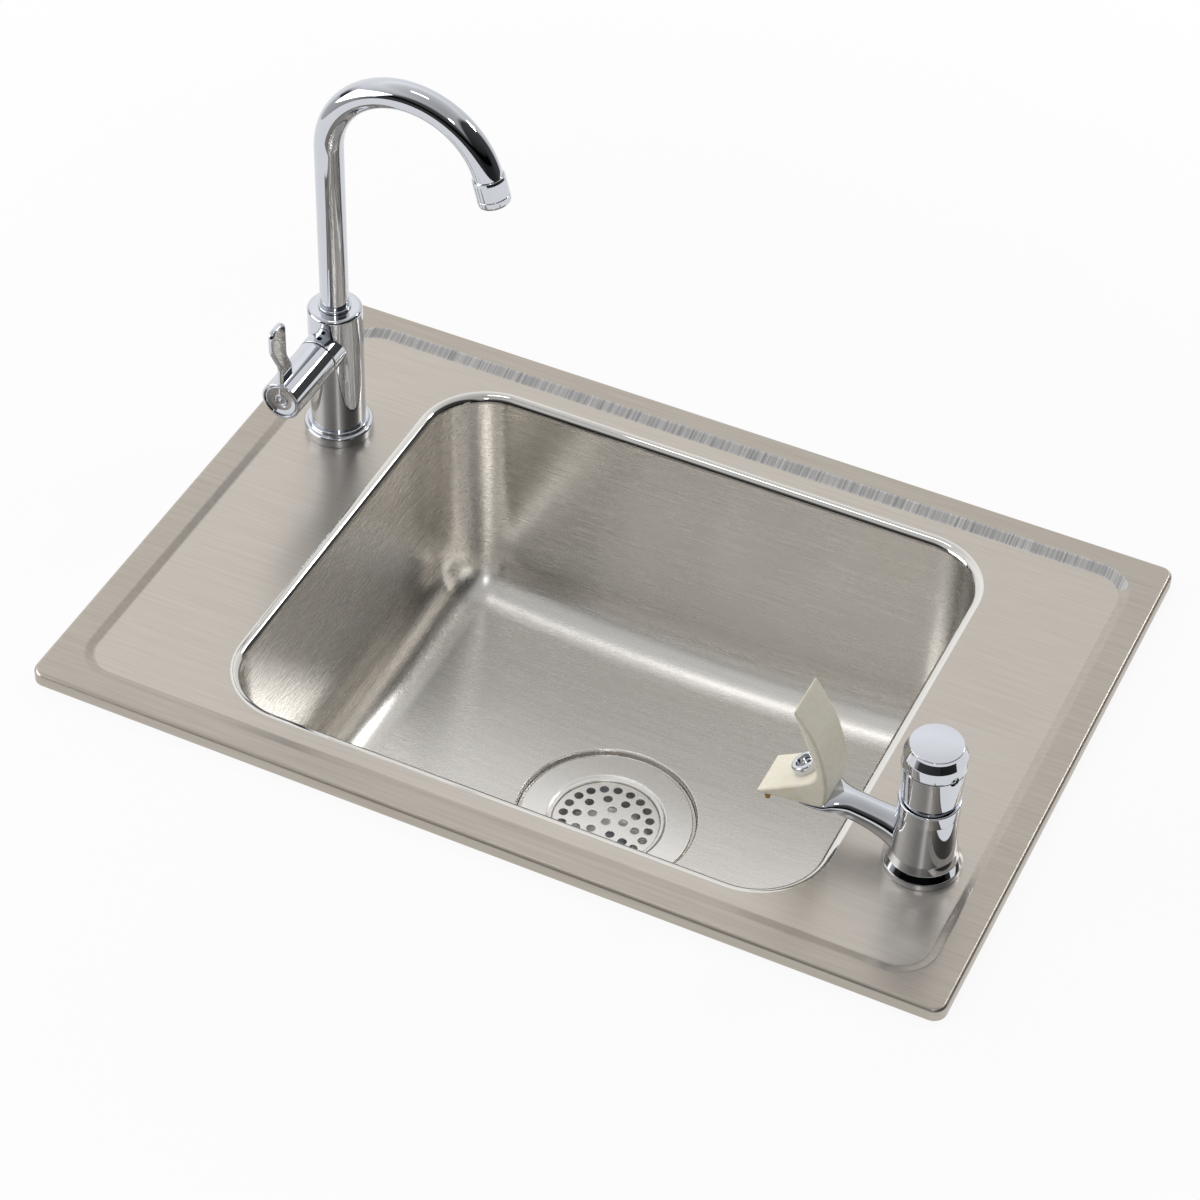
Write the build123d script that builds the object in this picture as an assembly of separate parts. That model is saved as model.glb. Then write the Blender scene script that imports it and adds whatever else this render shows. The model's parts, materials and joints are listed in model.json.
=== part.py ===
# Drop-in stainless classroom sink with a rigid gooseneck tap and a push-cap drinking bubbler.
# Frame: origin at the middle of the rim outline on the counter plane, X along the long side
# (tap deck at -X, bubbler deck at +X), -Y to the user, Z up. Millimetres.
import os
from math import cos, hypot, radians, sin, sqrt

from build123d import *

os.makedirs("parts", exist_ok=True)

# Rim and deck, pressed from one sheet
OUT_X, OUT_Y = 635.0, 431.8
RIM_H = 9.5
SHEET = 1.2
CORNER_R = 9.0
RIM_BEND_R = 3.0
BAND_X, BAND_Y = 19.5, 17.5
STEP_DROP = 2.5
STEP_RUN_X, STEP_RUN_Y = 5.25, 7.2
STEP_OUT_R, STEP_IN_R = 27.0, 21.0
STEP_CY = -0.8
HOLE_R = 17.5

# Bowl
BOWL_X, BOWL_Y = 406.4, 342.9
BOWL_CY = -1.7
COVE_R = 36.0
CORNER_OVER = 8.0
ROLL_R = 6.5
ROLL_LAND = 0.2
DRAFT = 1.6
FLOOR_DISH_R = 1790.0
FLOOR_Z = -180.5
SEAT_R = 63.6
SEAT_DROP = 5.7
DRAIN_HOLE_R = 45.0
PAD_X, PAD_W, PAD_D, PAD_R, PAD_T = 114.0, 76.0, 190.0, 12.0, 2.0

# Drain fitting
FLANGE_T = 1.3
SEAL_T = 0.8
CUP_R = 38.1
CUP_WALL = 5.4
LEDGE_R = 36.3
PLATE_DROP = 2.6
PLATE_T = 1.2
CUP_DEEP = 34.0
NIPPLE_R = 23.4
NIPPLE_LEN = 17.0
OUTLET_R = 18.2
STRAIN_HOLE_R = 3.2
STRAIN_RINGS = ((31.0, 20, 9.0), (21.8, 10, 3.0), (12.2, 5, 21.0), (0.0, 1, 0.0))
TAIL_R = 19.05
TAIL_WALL = 1.0
TAIL_LEN = 101.6
TAIL_FLARE, TAIL_NECK = 0.6, 3.2

# Clamping hardware under the rim
CHAN_W, CHAN_H, CHAN_T, CHAN_LIP = 10.0, 11.0, 1.0, 1.2
CHAN_END_X, CHAN_END_Y = 67.5, 65.9
CHAN_EDGE = 1.2
COUNTER_T = 19.0
CLIP_W, CLIP_T, CLIP_DROP = 20.0, 2.0, 9.0
CLIP_EDGE = 2.4
CLIP_PITCH_X, CLIP_PITCH_Y, CLIP_SHIFT_Y = 190.0, 120.0, 45.0
SCREW_R = 2.5
NUT_T = 4.0

# Gooseneck tap
TAP_IN_X, TAP_IN_Y = 60.5, 124.9
TAP_R = 19.1
TAP_BASE_R, TAP_BASE_H = 24.25, 7.8
TAP_STEP_R, TAP_STEP_H = 21.25, 2.6
TUBE_R, TUBE_WALL = 10.0, 1.4
SOCKET_DEEP = 14.6
TUBE_RISE = 240.0
ARCH_R, ARCH_SWEEP = 59.4, 165.0
AERATOR_R, AERATOR_LEN = 11.25, 20.0

# Quarter-turn valve on the tap
VALVE_H = 80.4
COLLAR_R, COLLAR_END = 14.6, 27.0
HUB_R, HUB_END = 14.3, 77.2
CAP_R, CAP_RECESS = 12.3, 2.1
CARTRIDGE_R = 10.9
STEM_R = 4.9
LEVER_T = 4.2

# Bubbler
BUB_IN_X, BUB_IN_Y = 57.2, 110.5
BUB_FOOT_R, BUB_FOOT_H = 25.2, 9.5
BUB_LOW_R, BUB_R = 21.0, 18.9
BUB_RING_R, BUB_RING_Z, BUB_RING_H = 19.7, 48.5, 10.0
BUB_TOP = 72.0
CAP_LOW_Z, CAP_HIGH_Z, CAP_TOP_Z = 62.5, 89.0, 105.0
CAP_WALL = 0.9
CAP_LOW_R, CAP_HIGH_R, CAP_DISC_R = 18.5, 20.4, 17.0
CAP_TRAVEL = 3.0
PIN_R, BUSH_R = 4.0, 9.7
KEY_TURN = -32.0
GUARD_HALF = 17.0
JET_R, JET_BORE, JET_TILT = 9.4, 6.0, 33.0
WATERWAY = 0.38
JET_STEM_R, JET_SEAT, JET_RISE, JET_LOW = 5.4, 5.0, 5.5, -22.5
PEG_R, PEG_LOW, PEG_TOP = 1.8, 23.2, 31.0

# Shanks through the deck
SHANK_R = 10.4
SHANK_BORE = 6.0
SHANK_LOW = -46.0
RELIEF_DEEP, RELIEF_W = 0.5, 1.2

# Named clearances
RUN = 0.06
SLIP = 0.3
SEAM = 0.8
FLANGE_GAP = 2.4
GASKET_GAP = 4.6

STEP_OUT_X, STEP_OUT_Y = OUT_X - 2 * BAND_X, OUT_Y - 2 * BAND_Y
STEP_IN_X, STEP_IN_Y = STEP_OUT_X - 2 * STEP_RUN_X, STEP_OUT_Y - 2 * STEP_RUN_Y
BOWL_R = COVE_R + CORNER_OVER
TAP_X, TAP_Y = TAP_IN_X - OUT_X / 2, OUT_Y / 2 - TAP_IN_Y
BUB_X, BUB_Y = OUT_X / 2 - BUB_IN_X, BUB_IN_Y - OUT_Y / 2
TUBE_FOOT = VALVE_H + CARTRIDGE_R + SLIP + 1.8
TAP_TOP = TUBE_FOOT + SOCKET_DEEP
CAP_CEIL = BUB_TOP + CAP_TRAVEL + 9
DECK_Z = RIM_H - STEP_DROP
UNDER_Z = DECK_Z - SHEET
OPEN_X = BOWL_X + 2 * (ROLL_R + ROLL_LAND)
OPEN_Y = BOWL_Y + 2 * (ROLL_R + ROLL_LAND)
OPEN_R = BOWL_R + ROLL_R + ROLL_LAND
SEAT_Z = FLOOR_Z - SEAT_DROP
FLANGE_R, GASKET_R = SEAT_R - FLANGE_GAP, SEAT_R - GASKET_GAP
LOW = (Align.CENTER, Align.CENTER, Align.MIN)


def slab(w, d, r, z0, z1, cy=0.0):
    return Pos(0, cy, z0) * extrude(RectangleRounded(w, d, r), z1 - z0)


def rod(r, z0, z1):
    return Pos(0, 0, z0) * Cylinder(r, z1 - z0, align=LOW)


def ring(r_out, r_in, z0, z1):
    return rod(r_out, z0, z1) - rod(r_in, z0, z1)


def block(x0, x1, y0, y1, z0, z1):
    corner = (Align.MIN, Align.MIN, Align.MIN)
    return Pos(x0, y0, z0) * Box(x1 - x0, y1 - y0, z1 - z0, align=corner)


def spin(points):
    face = make_face(Polyline(*[(r, 0, z) for r, z in points], close=True))
    return revolve(face, Axis.Z, 360)


def hexagon(flats, z0, z1):
    return Pos(0, 0, z0) * extrude(RegularPolygon(flats / 2, 6, major_radius=False), z1 - z0)


def save(node, shape):
    export_step(shape, "parts/" + node + ".step")


def group(shapes):
    return Compound(children=[s if isinstance(s, Solid) else s.solids()[0] for s in shapes])


# Sink deck: turned-down edge, raised rim band, step and recessed deck in one sheet
outer = slab(OUT_X, OUT_Y, CORNER_R, 0, RIM_H)
outer = fillet(outer.edges().group_by(Axis.Z)[-1], RIM_BEND_R)
hollow = slab(OUT_X - 2 * SHEET, OUT_Y - 2 * SHEET, CORNER_R - SHEET, -1, RIM_H - SHEET)
hollow = fillet(hollow.edges().group_by(Axis.Z)[-1], RIM_BEND_R - SHEET)


def step_pocket(z, grow):
    low = Pos(0, STEP_CY, z) * RectangleRounded(STEP_IN_X + grow, STEP_IN_Y + grow, STEP_IN_R)
    high = Pos(0, STEP_CY, z + STEP_DROP) * RectangleRounded(
        STEP_OUT_X + grow, STEP_OUT_Y + grow, STEP_OUT_R
    )
    top = slab(STEP_OUT_X + grow, STEP_OUT_Y + grow, STEP_OUT_R, z + STEP_DROP, z + 9, STEP_CY)
    return loft([low, high], ruled=True) + top


deck = outer - step_pocket(DECK_Z, 0) - (hollow - step_pocket(UNDER_Z, 0.5))
deck -= slab(OPEN_X, OPEN_Y, OPEN_R, -1, RIM_H + 1, BOWL_CY)
for x, y in ((TAP_X, TAP_Y), (BUB_X, BUB_Y)):
    deck -= Pos(x, y, 0) * rod(HOLE_R, -1, RIM_H + 1)
save("sink_deck", deck)


# Bowl: drafted walls, coved floor edge, dished floor, drain seat and a rolled bright mouth
def bowl_form(grow):
    start = Plane(origin=(0, BOWL_CY, DECK_Z), x_dir=(1, 0, 0), z_dir=(0, 0, -1))
    mouth = start * RectangleRounded(BOWL_X + 2 * grow, BOWL_Y + 2 * grow, BOWL_R + grow)
    well = extrude(mouth, DECK_Z - FLOOR_Z + COVE_R, taper=DRAFT)
    dish = FLOOR_DISH_R + grow
    centre_z = FLOOR_Z + sqrt(FLOOR_DISH_R**2 - SEAT_R**2)
    well = well & (Pos(0, BOWL_CY, centre_z) * Sphere(dish))
    foot = well.faces().sort_by(Axis.Z)[0]
    return fillet(foot.edges(), COVE_R + grow)


def near_wall(edges, reach):
    keep = []
    for e in edges:
        c = e.center()
        across = max(abs(c.X) - BOWL_X / 2 + BOWL_R, 0)
        along = max(abs(c.Y - BOWL_CY) - BOWL_Y / 2 + BOWL_R, 0)
        if hypot(across, along) - BOWL_R < reach:
            keep.append(e)
    return keep


shell = bowl_form(SHEET) + slab(OPEN_X, OPEN_Y, OPEN_R, UNDER_Z, DECK_Z, BOWL_CY)
under = shell.edges().filter_by_position(Axis.Z, UNDER_Z - 0.01, UNDER_Z + 0.01)
shell = fillet(near_wall(under, 2.5), ROLL_R - SHEET)
shell -= bowl_form(0)
mouth = shell.edges().filter_by_position(Axis.Z, DECK_Z - 0.01, DECK_Z + 0.01)
shell = fillet(near_wall(mouth, 1.0), ROLL_R)
at_drain = Pos(0, BOWL_CY, 0)
shell += at_drain * rod(SEAT_R + SHEET, SEAT_Z - SHEET, FLOOR_Z - 0.4)
shell -= at_drain * rod(SEAT_R, SEAT_Z, FLOOR_Z + 6)
shell -= at_drain * rod(DRAIN_HOLE_R, SEAT_Z - 5, SEAT_Z + 5)
save("sink_bowl", shell)

# Damping pads bonded under the dished floor, one each side of the drain
pad_skin = Pos(0, BOWL_CY, FLOOR_Z + sqrt(FLOOR_DISH_R**2 - SEAT_R**2))
pad_shell = pad_skin * (Sphere(FLOOR_DISH_R + SHEET + PAD_T) - Sphere(FLOOR_DISH_R + SHEET))
for side, name in ((-1, "left"), (1, "right")):
    outline = RectangleRounded(PAD_W, PAD_D, PAD_R)
    patch = Pos(side * PAD_X, BOWL_CY, FLOOR_Z) * extrude(outline, PAD_W / 2, both=True)
    save("sound_pad_" + name, patch & pad_shell)


# Mounting channels under the deck: an open C with inturned lips
def channel(length):
    section = Rectangle(CHAN_W, CHAN_H) - Rectangle(CHAN_W - 2 * CHAN_T, CHAN_H - 2 * CHAN_T)
    slot = CHAN_W - 2 * (CHAN_T + CHAN_LIP)
    section -= Pos(0, -CHAN_H / 2) * Rectangle(slot, 4 * CHAN_T)
    bar = extrude(Plane.YZ * section, length / 2, both=True)
    return Pos(0, 0, UNDER_Z - CHAN_H / 2) * bar


long_run, short_run = OUT_X - 2 * CHAN_END_X, OUT_Y - 2 * CHAN_END_Y
FRONT_Y = BOWL_CY - OPEN_Y / 2 - CHAN_EDGE - CHAN_W / 2
BACK_Y = BOWL_CY + OPEN_Y / 2 + CHAN_EDGE + CHAN_W / 2
SIDE_X = STEP_IN_X / 2 - CHAN_EDGE - CHAN_W / 2
save("channel_front", Pos(0, FRONT_Y, 0) * channel(long_run))
save("channel_back", Pos(0, BACK_Y, 0) * channel(long_run))
save("channel_left", Pos(-SIDE_X, 0, 0) * Rot(0, 0, 90) * channel(short_run))
save("channel_right", Pos(SIDE_X, 0, 0) * Rot(0, 0, 90) * channel(short_run))

# Rim clips: a stepped bar whose heel bears on the channel and whose tip bears on the counter
lip_z = UNDER_Z - CHAN_H + CHAN_T
bar_z = -COUNTER_T - CLIP_DROP
heel_y = CHAN_W / 2 - 0.2
nut_z = bar_z - CLIP_T


def clip(reach):
    half = CLIP_W / 2
    bar = block(-half, half, -reach, heel_y, nut_z, bar_z)
    bar += block(-half, half, heel_y - CLIP_T, heel_y, nut_z, UNDER_Z - CHAN_H)
    bar += block(-half, half, -reach, CLIP_T - reach, nut_z, -COUNTER_T)
    bar = fillet(bar.edges().filter_by(Axis.X).group_by(Axis.Z)[0], 0.75 * CLIP_T)
    return bar - rod(SCREW_R + SLIP, nut_z - 1, bar_z + 1)


head_y = CHAN_W / 2 - CHAN_T - 2 * RUN
screw = block(-6, 6, -head_y, head_y, lip_z, lip_z + 2.4)
screw += rod(SCREW_R, nut_z - NUT_T - 4, lip_z)
nut = hexagon(8, nut_z - NUT_T, nut_z) - rod(SCREW_R + RUN, nut_z - NUT_T - 1, nut_z + 1)
spots = []
for i in (-1, 0, 1):
    x = i * CLIP_PITCH_X
    spots.append((x, FRONT_Y, 0, OUT_Y / 2 + FRONT_Y))
    spots.append((x, BACK_Y, 180, OUT_Y / 2 - BACK_Y))
for i in (0, 1):
    y = i * CLIP_PITCH_Y - CLIP_PITCH_Y / 2
    spots.append((-SIDE_X, y - CLIP_SHIFT_Y, 270, OUT_X / 2 - SIDE_X))
    spots.append((SIDE_X, y + CLIP_SHIFT_Y, 90, OUT_X / 2 - SIDE_X))
places = [Pos(x, y, 0) * Rot(0, 0, a) for x, y, a, room in spots]
clips = [p * clip(spot[3] - CLIP_EDGE) for p, spot in zip(places, spots)]
save("rim_clips", group(clips))
save("clip_screws", group([p * screw for p in places]))
save("clip_nuts", group([p * nut for p in places]))

# Drain fitting, all on one axis under the middle of the bowl
top = SEAT_Z + SEAL_T + FLANGE_T
cup_out = CUP_R + CUP_WALL
cup_z = top - CUP_DEEP
nip_z = cup_z - NIPPLE_LEN
ledge_z = top - PLATE_DROP - PLATE_T
drain = spin(
    [
        (FLANGE_R, SEAT_Z + 0.3),
        (FLANGE_R, top - 0.7),
        (FLANGE_R - 0.8, top),
        (FLANGE_R - 4, top),
        (CUP_R + 2.2, top - 0.6),
        (CUP_R + 0.6, top - 1.0),
        (CUP_R, top - 1.8),
        (CUP_R, ledge_z),
        (LEDGE_R, ledge_z),
        (LEDGE_R, cup_z + 12),
        (LEDGE_R - 4, cup_z + 6),
        (OUTLET_R + 2, cup_z + 3),
        (OUTLET_R, cup_z),
        (OUTLET_R, nip_z),
        (NIPPLE_R, nip_z),
        (NIPPLE_R, cup_z),
        (cup_out - 9, cup_z),
        (cup_out, cup_z + 9),
        (cup_out, SEAT_Z + SEAL_T),
        (FLANGE_R - 1, SEAT_Z + SEAL_T),
        (FLANGE_R - 1, SEAT_Z + 0.3),
    ]
)
save("drain_body", at_drain * drain)
save("drain_flange_seal", at_drain * ring(FLANGE_R - 1.5, DRAIN_HOLE_R, SEAT_Z, SEAT_Z + SEAL_T))
plate = rod(CUP_R - SLIP, ledge_z, ledge_z + PLATE_T)
for r, count, turn in STRAIN_RINGS:
    for i in range(count):
        a = radians(turn + 360 * i / count)
        plate -= Pos(r * cos(a), r * sin(a), 0) * rod(STRAIN_HOLE_R, ledge_z - 1, ledge_z + 3)
save("drain_strainer", at_drain * plate)
low = SEAT_Z - SHEET
save("drain_gasket", at_drain * ring(GASKET_R, cup_out + SLIP, low - 3, low))
save("drain_friction_ring", at_drain * ring(GASKET_R - 2, cup_out + SLIP, low - 4, low - 3))
lock = rod(GASKET_R - 4, low - 12, low - 4)
for i in range(6):
    lock += Rot(0, 0, 60 * i) * (Pos(GASKET_R - 3, 0, low - 12) * Box(7, 11, 8, align=LOW))
save("drain_locknut", at_drain * (lock - rod(cup_out + SLIP, low - 13, low - 3)))
save("tail_washer", at_drain * ring(NIPPLE_R - 0.6, TAIL_R, nip_z - 1.6, nip_z))
foot = nip_z - 1.6
tail = spin(
    [
        (NIPPLE_R - 0.6, foot),
        (NIPPLE_R - 0.6, foot - 1.2),
        (TAIL_R + TAIL_FLARE, foot - 1.2),
        (TAIL_R, foot - 1.2 - TAIL_NECK),
        (TAIL_R, foot - TAIL_LEN),
        (TAIL_R - TAIL_WALL, foot - TAIL_LEN),
        (TAIL_R - TAIL_WALL, foot),
    ]
)
save("tailpiece", at_drain * tail)
nut_top = nip_z + 11
tail_nut = hexagon(56, foot - 4, nut_top - 2) + rod(26.6, foot - 4, nut_top)
tail_nut -= rod(NIPPLE_R + SLIP, foot - 1.2, nut_top + 1)
tail_nut -= rod(TAIL_R + TAIL_FLARE + SLIP, foot - 5, foot)
save("tail_nut", at_drain * tail_nut)


# Shared under-deck set: rubber washer, steel washer and locknut on a threaded shank
def under_set(prefix, place, shank_top):
    z = UNDER_Z - DECK_Z
    shank = rod(SHANK_R, SHANK_LOW, shank_top)
    shank = chamfer(shank.edges().group_by(Axis.Z)[0], 1.2) - rod(SHANK_BORE, SHANK_LOW - 1, 60)
    nut_low = z - 10.2
    shank -= ring(SHANK_R + 1, SHANK_R - RELIEF_DEEP, nut_low - RELIEF_W, nut_low)
    nut = hexagon(32, nut_low, z - 4.2) - rod(SHANK_R + RUN, z - 20, z)
    save(prefix + "_shank", place * shank)
    save(prefix + "_gasket", place * ring(20.8, SHANK_R + SLIP, z - 3, z))
    save(prefix + "_washer", place * ring(20, SHANK_R + SLIP, z - 4.2, z - 3))
    save(prefix + "_locknut", place * nut)


# Tap base, body and spout
tap = Pos(TAP_X, TAP_Y, DECK_Z)
under_set("tap", tap, 26)
base = rod(TAP_BASE_R, 0, TAP_BASE_H)
base = fillet(base.edges().group_by(Axis.Z)[-1], 1.5)
base += rod(TAP_STEP_R, TAP_BASE_H, TAP_BASE_H + TAP_STEP_H)
body_low = TAP_BASE_H + TAP_STEP_H
base -= rod(SHANK_R + SLIP, -1, body_low + 1)
save("tap_base", tap * base)

valve = Pos(0, 0, VALVE_H) * Rot(90, 0, 0)
body = rod(TAP_R, body_low, TAP_TOP)
body = fillet(body.edges().group_by(Axis.Z)[-1], 3)
body += valve * rod(COLLAR_R, 0, COLLAR_END)
body -= rod(SHANK_R + SLIP, 0, 28)
body -= rod(7, 20, TAP_TOP)
body -= rod(TUBE_R + RUN, TUBE_FOOT - SLIP, TAP_TOP + 1)
body -= valve * rod(CARTRIDGE_R + SLIP, -9, COLLAR_END + 1)
set_v = COLLAR_END - 4.6
grub_z = VALVE_H + CARTRIDGE_R + SLIP
body -= Pos(0, -set_v, 0) * rod(1.6, grub_z - 2, VALVE_H + COLLAR_R + 1)
save("tap_body", tap * body)
grub = rod(1.5, grub_z, VALVE_H + COLLAR_R - 0.6) - rod(0.8, grub_z + 0.8, VALVE_H + COLLAR_R)
save("tap_set_screw", tap * Pos(0, -set_v, 0) * grub)

sweep_a = radians(ARCH_SWEEP)
arch_end = (ARCH_R * (1 - cos(sweep_a)), 0, TUBE_RISE + ARCH_R * sin(sweep_a))
arch_mid = (ARCH_R * (1 - cos(sweep_a / 2)), 0, TUBE_RISE + ARCH_R * sin(sweep_a / 2))
out_dir = (sin(sweep_a), 0, cos(sweep_a))
TAIL_STUB = 7.0
stub = tuple(p + TAIL_STUB * d for p, d in zip(arch_end, out_dir))


def neck(r, z0):
    rise = Line((0, 0, z0), (0, 0, TUBE_RISE))
    arch = ThreePointArc((0, 0, TUBE_RISE), arch_mid, arch_end)
    path = Wire([rise, arch, Line(arch_end, stub)])
    return sweep(Pos(0, 0, z0) * Circle(r), path=path)


tube = neck(TUBE_R, TUBE_FOOT) - neck(TUBE_R - TUBE_WALL, TUBE_FOOT)
seal_z = (TUBE_FOOT + 2.4, TUBE_FOOT + 7.4)
for z in seal_z:
    tube -= ring(TUBE_R + 1, TUBE_R - 0.7, z, z + 1.8)
save("spout_tube", tap * tube)
seals = [ring(TUBE_R + 0.03, TUBE_R - 0.65, z + 0.1, z + 1.7) for z in seal_z]
save("spout_seals", group([tap * s for s in seals]))
spout_ring = ring(11.3, TUBE_R + RUN, TAP_TOP + SLIP, TAP_TOP + 2.3)
save("spout_ring", tap * fillet(spout_ring.edges().group_by(Axis.Z)[-1].sort_by(SortBy.LENGTH)[-1], 0.7))

mouth_at = Plane(origin=arch_end, x_dir=(0, 1, 0), z_dir=out_dir).location
shell_low = AERATOR_LEN - 1
aerator = Pos(0, 0, -1) * Cylinder(AERATOR_R, AERATOR_LEN, align=LOW)
aerator = fillet(aerator.edges().group_by(Axis.Z)[-1], 2.6)
aerator = fillet(aerator.edges().group_by(Axis.Z)[0], 0.5)
aerator -= rod(TUBE_R + RUN, -2, 9)
aerator -= rod(9.2, 8, shell_low - 2.5)
aerator -= rod(7.9, shell_low - 4, shell_low + 1)
save("aerator_shell", tap * mouth_at * aerator)
save("aerator_washer", tap * mouth_at * ring(9.0, 6.2, 7.3, 8.9))
insert = rod(8.9, 9.2, shell_low - 2.7)
insert -= rod(7.0, shell_low - 4.5, shell_low)
insert -= rod(6.0, 9, 11.5)
for i in range(6):
    insert -= Rot(0, 0, 60 * i) * (Pos(4.6, 0, 0) * rod(1.1, 9, shell_low))
insert -= rod(1.1, 9, shell_low)
save("aerator_insert", tap * mouth_at * insert)

# Quarter-turn cartridge, spindle, hub, lever and end cap, on an axis towards the user
cartridge_end = COLLAR_END - 2.2
cartridge = rod(CARTRIDGE_R, -8.5, cartridge_end) - rod(STEM_R + RUN, -4, cartridge_end + 1)
cartridge -= Rot(90, 0, 0) * Cylinder(3.5, 30)
save("tap_cartridge", tap * valve * cartridge)
stem = rod(STEM_R, -3.6, 39.6) - rod(SCREW_R + RUN, 27, 41)
save("tap_spindle", tap * valve * stem)
hub_low = COLLAR_END + SEAM
hub = rod(HUB_R, hub_low, HUB_END)
hub = fillet(hub.edges().group_by(Axis.Z)[-1], 0.6)
cap_v = HUB_END - CAP_RECESS
hub -= rod(CAP_R + 0.1, cap_v, HUB_END + 1)
hub -= rod(8.0, 50, HUB_END)
hub -= rod(SCREW_R + SLIP, 30, 60)
hub -= rod(STEM_R + RUN, hub_low - 1, 40)
save("handle_hub", tap * valve * hub)
cap = ring(CAP_R, CAP_R - 1.3, cap_v, cap_v + 1.5) + rod(CAP_R - 1, cap_v, cap_v + 1.2)
cap += ring(4.7, 3.9, cap_v + 1.2, cap_v + 1.5) + ring(1.7, 0.8, cap_v + 1.2, cap_v + 1.5)
save("handle_end_cap", tap * valve * cap)
hex_key = Pos(0, 0, 51.5) * extrude(RegularPolygon(2, 6, major_radius=False), 5)
save("handle_screw", tap * valve * (rod(SCREW_R, 28, 50) + rod(4.4, 50, 54.5) - hex_key))
blade = Polygon(
    (64, 6), (64, 26), (68.5, 36), (68.5, 64.6), (86, 64.6), (86, 47), (76, 27), (75, 6), align=None
)
tips = blade.vertices().group_by(Axis.Y)[-1]
blade = fillet(tips, 5)
blade = fillet([v for v in blade.vertices() if 20 < v.Y < 50], 7)
lever = extrude(Plane(origin=(0, 0, 0), x_dir=(0, 0, 1), z_dir=(-1, 0, 0)) * blade, LEVER_T / 2, both=True)
lever -= rod(HUB_R, 0, 90)
save("handle_lever", tap * valve * lever)

# Bubbler casting: domed foot, tapering body with a bright ring, and an arm that spreads into the head
bub = Pos(BUB_X, BUB_Y, DECK_Z)
under_set("bubbler", bub, 13)
ring_top = BUB_RING_Z + BUB_RING_H
NECK_R = CAP_LOW_R - CAP_WALL - 0.7
flare_r = BUB_LOW_R + 1.6
foot_edges = [
    Polyline((0, 0, 0), (BUB_FOOT_R - 0.4, 0, 0), (BUB_FOOT_R, 0, 0.4), (BUB_FOOT_R, 0, 3)),
    ThreePointArc((BUB_FOOT_R, 0, 3), (BUB_FOOT_R - 0.5, 0, 6.6), (flare_r, 0, BUB_FOOT_H)),
    ThreePointArc((flare_r, 0, BUB_FOOT_H), (BUB_LOW_R + 0.5, 0, BUB_FOOT_H + 3), (BUB_LOW_R, 0, 17)),
    Polyline((BUB_LOW_R, 0, 17), (BUB_R, 0, BUB_RING_Z), (BUB_RING_R, 0, BUB_RING_Z + 0.8)),
    Polyline((BUB_RING_R, 0, BUB_RING_Z + 0.8), (BUB_RING_R, 0, ring_top), (NECK_R, 0, ring_top + 0.4)),
    Polyline((NECK_R, 0, ring_top + 0.4), (NECK_R, 0, BUB_TOP), (0, 0, BUB_TOP), (0, 0, 0)),
]
casting = revolve(make_face(foot_edges), Axis.Z, 360)
arm_sections = (
    (-12, 18.9, 12.2, 14.6),
    (-24, 22.6, 11.0, 12.2),
    (-36, 25.8, 10.1, 10.4),
    (-47, 27.8, 9.9, 9.4),
    (-56, 29.0, 12.4, 8.0),
    (-64, 30.0, 16.2, 6.0),
    (-73, 30.5, 17.0, 4.6),
    (-83, 30.6, 15.4, 1.8),
)


def arm_form(share, sections):
    rings = []
    for x, z, ry, rz in sections:
        at = Plane(origin=(x, 0, z), x_dir=(0, 1, 0), z_dir=(-1, 0, 0))
        rings.append(at * Ellipse(ry * share, rz * share))
    return loft(rings)


# Mouth guard: a soft thick hood rising from a wedge-shaped flap that the jet stands in
HOOD_TIP, HOOD_EDGE = (-85.4, 106.4), (-86.6, 105.9)
HEEL, FLAP_TIP = (-60.7, 40.0), (-105.2, 27.0)
guard_edges = [
    Spline(*[(x, 0, z) for x, z in (HOOD_TIP, (-72.4, 88.0), (-64.8, 70.0), (-61.0, 53.0), HEEL)]),
    ThreePointArc((HEEL[0], 0, HEEL[1]), (-62.6, 0, 34.6), (-68.0, 0, 32.0)),
    Polyline((-68.0, 0, 32.0), (FLAP_TIP[0], 0, FLAP_TIP[1]), (-105.6, 0, 29.4), (-77.5, 0, 47.6)),
    Spline(*[(x, 0, z) for x, z in ((-77.5, 47.6), (-71.2, 53.0), (-68.8, 60.0))]),
    Spline(*[(x, 0, z) for x, z in ((-68.8, 60.0), (-72.6, 72.0), (-77.6, 84.0), HOOD_EDGE)]),
    Line((HOOD_EDGE[0], 0, HOOD_EDGE[1]), (HOOD_TIP[0], 0, HOOD_TIP[1])),
]
guard = extrude(make_face(guard_edges), GUARD_HALF, both=True)
over_edges = Polyline(
    (HEEL[0], 0, HEEL[1]), (-61.6, 0, 36.6), (-64.4, 0, 33.2), (-68.0, 0, 32.0),
    (FLAP_TIP[0], 0, FLAP_TIP[1]), (-112, 0, 26.0), (-112, 0, 60.0), (-60.7, 0, 60.0), close=True,
)
above_guard = extrude(make_face(over_edges), GUARD_HALF + 4, both=True)
tilt = radians(JET_TILT)
jet_at = Plane(origin=(-79.6, 0, 47.0), x_dir=(0, 1, 0), z_dir=(-sin(tilt), 0, cos(tilt))).location
casting += arm_form(1, arm_sections) - guard - above_guard
casting -= rod(SHANK_R + RUN, -1, 13.4)
casting -= rod(4, 10, 40)
casting -= rod(BUSH_R + SLIP, 34, BUB_TOP + 1)
casting -= arm_form(WATERWAY, arm_sections[:-1])
casting -= jet_at * rod(JET_STEM_R + RUN, JET_LOW, 12)
save("bubbler_body", bub * casting)
peg_at = Pos(-99.5, -13.6, 0)
guard -= peg_at * rod(PEG_R + RUN, PEG_LOW, PEG_TOP + SLIP)
guard -= jet_at * rod(JET_R + SLIP, -JET_SEAT, 14) + jet_at * rod(JET_STEM_R + SLIP, -30, 0)
save("mouth_guard", bub * guard)
jet = rod(JET_R, SLIP - JET_SEAT, JET_RISE)
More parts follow.
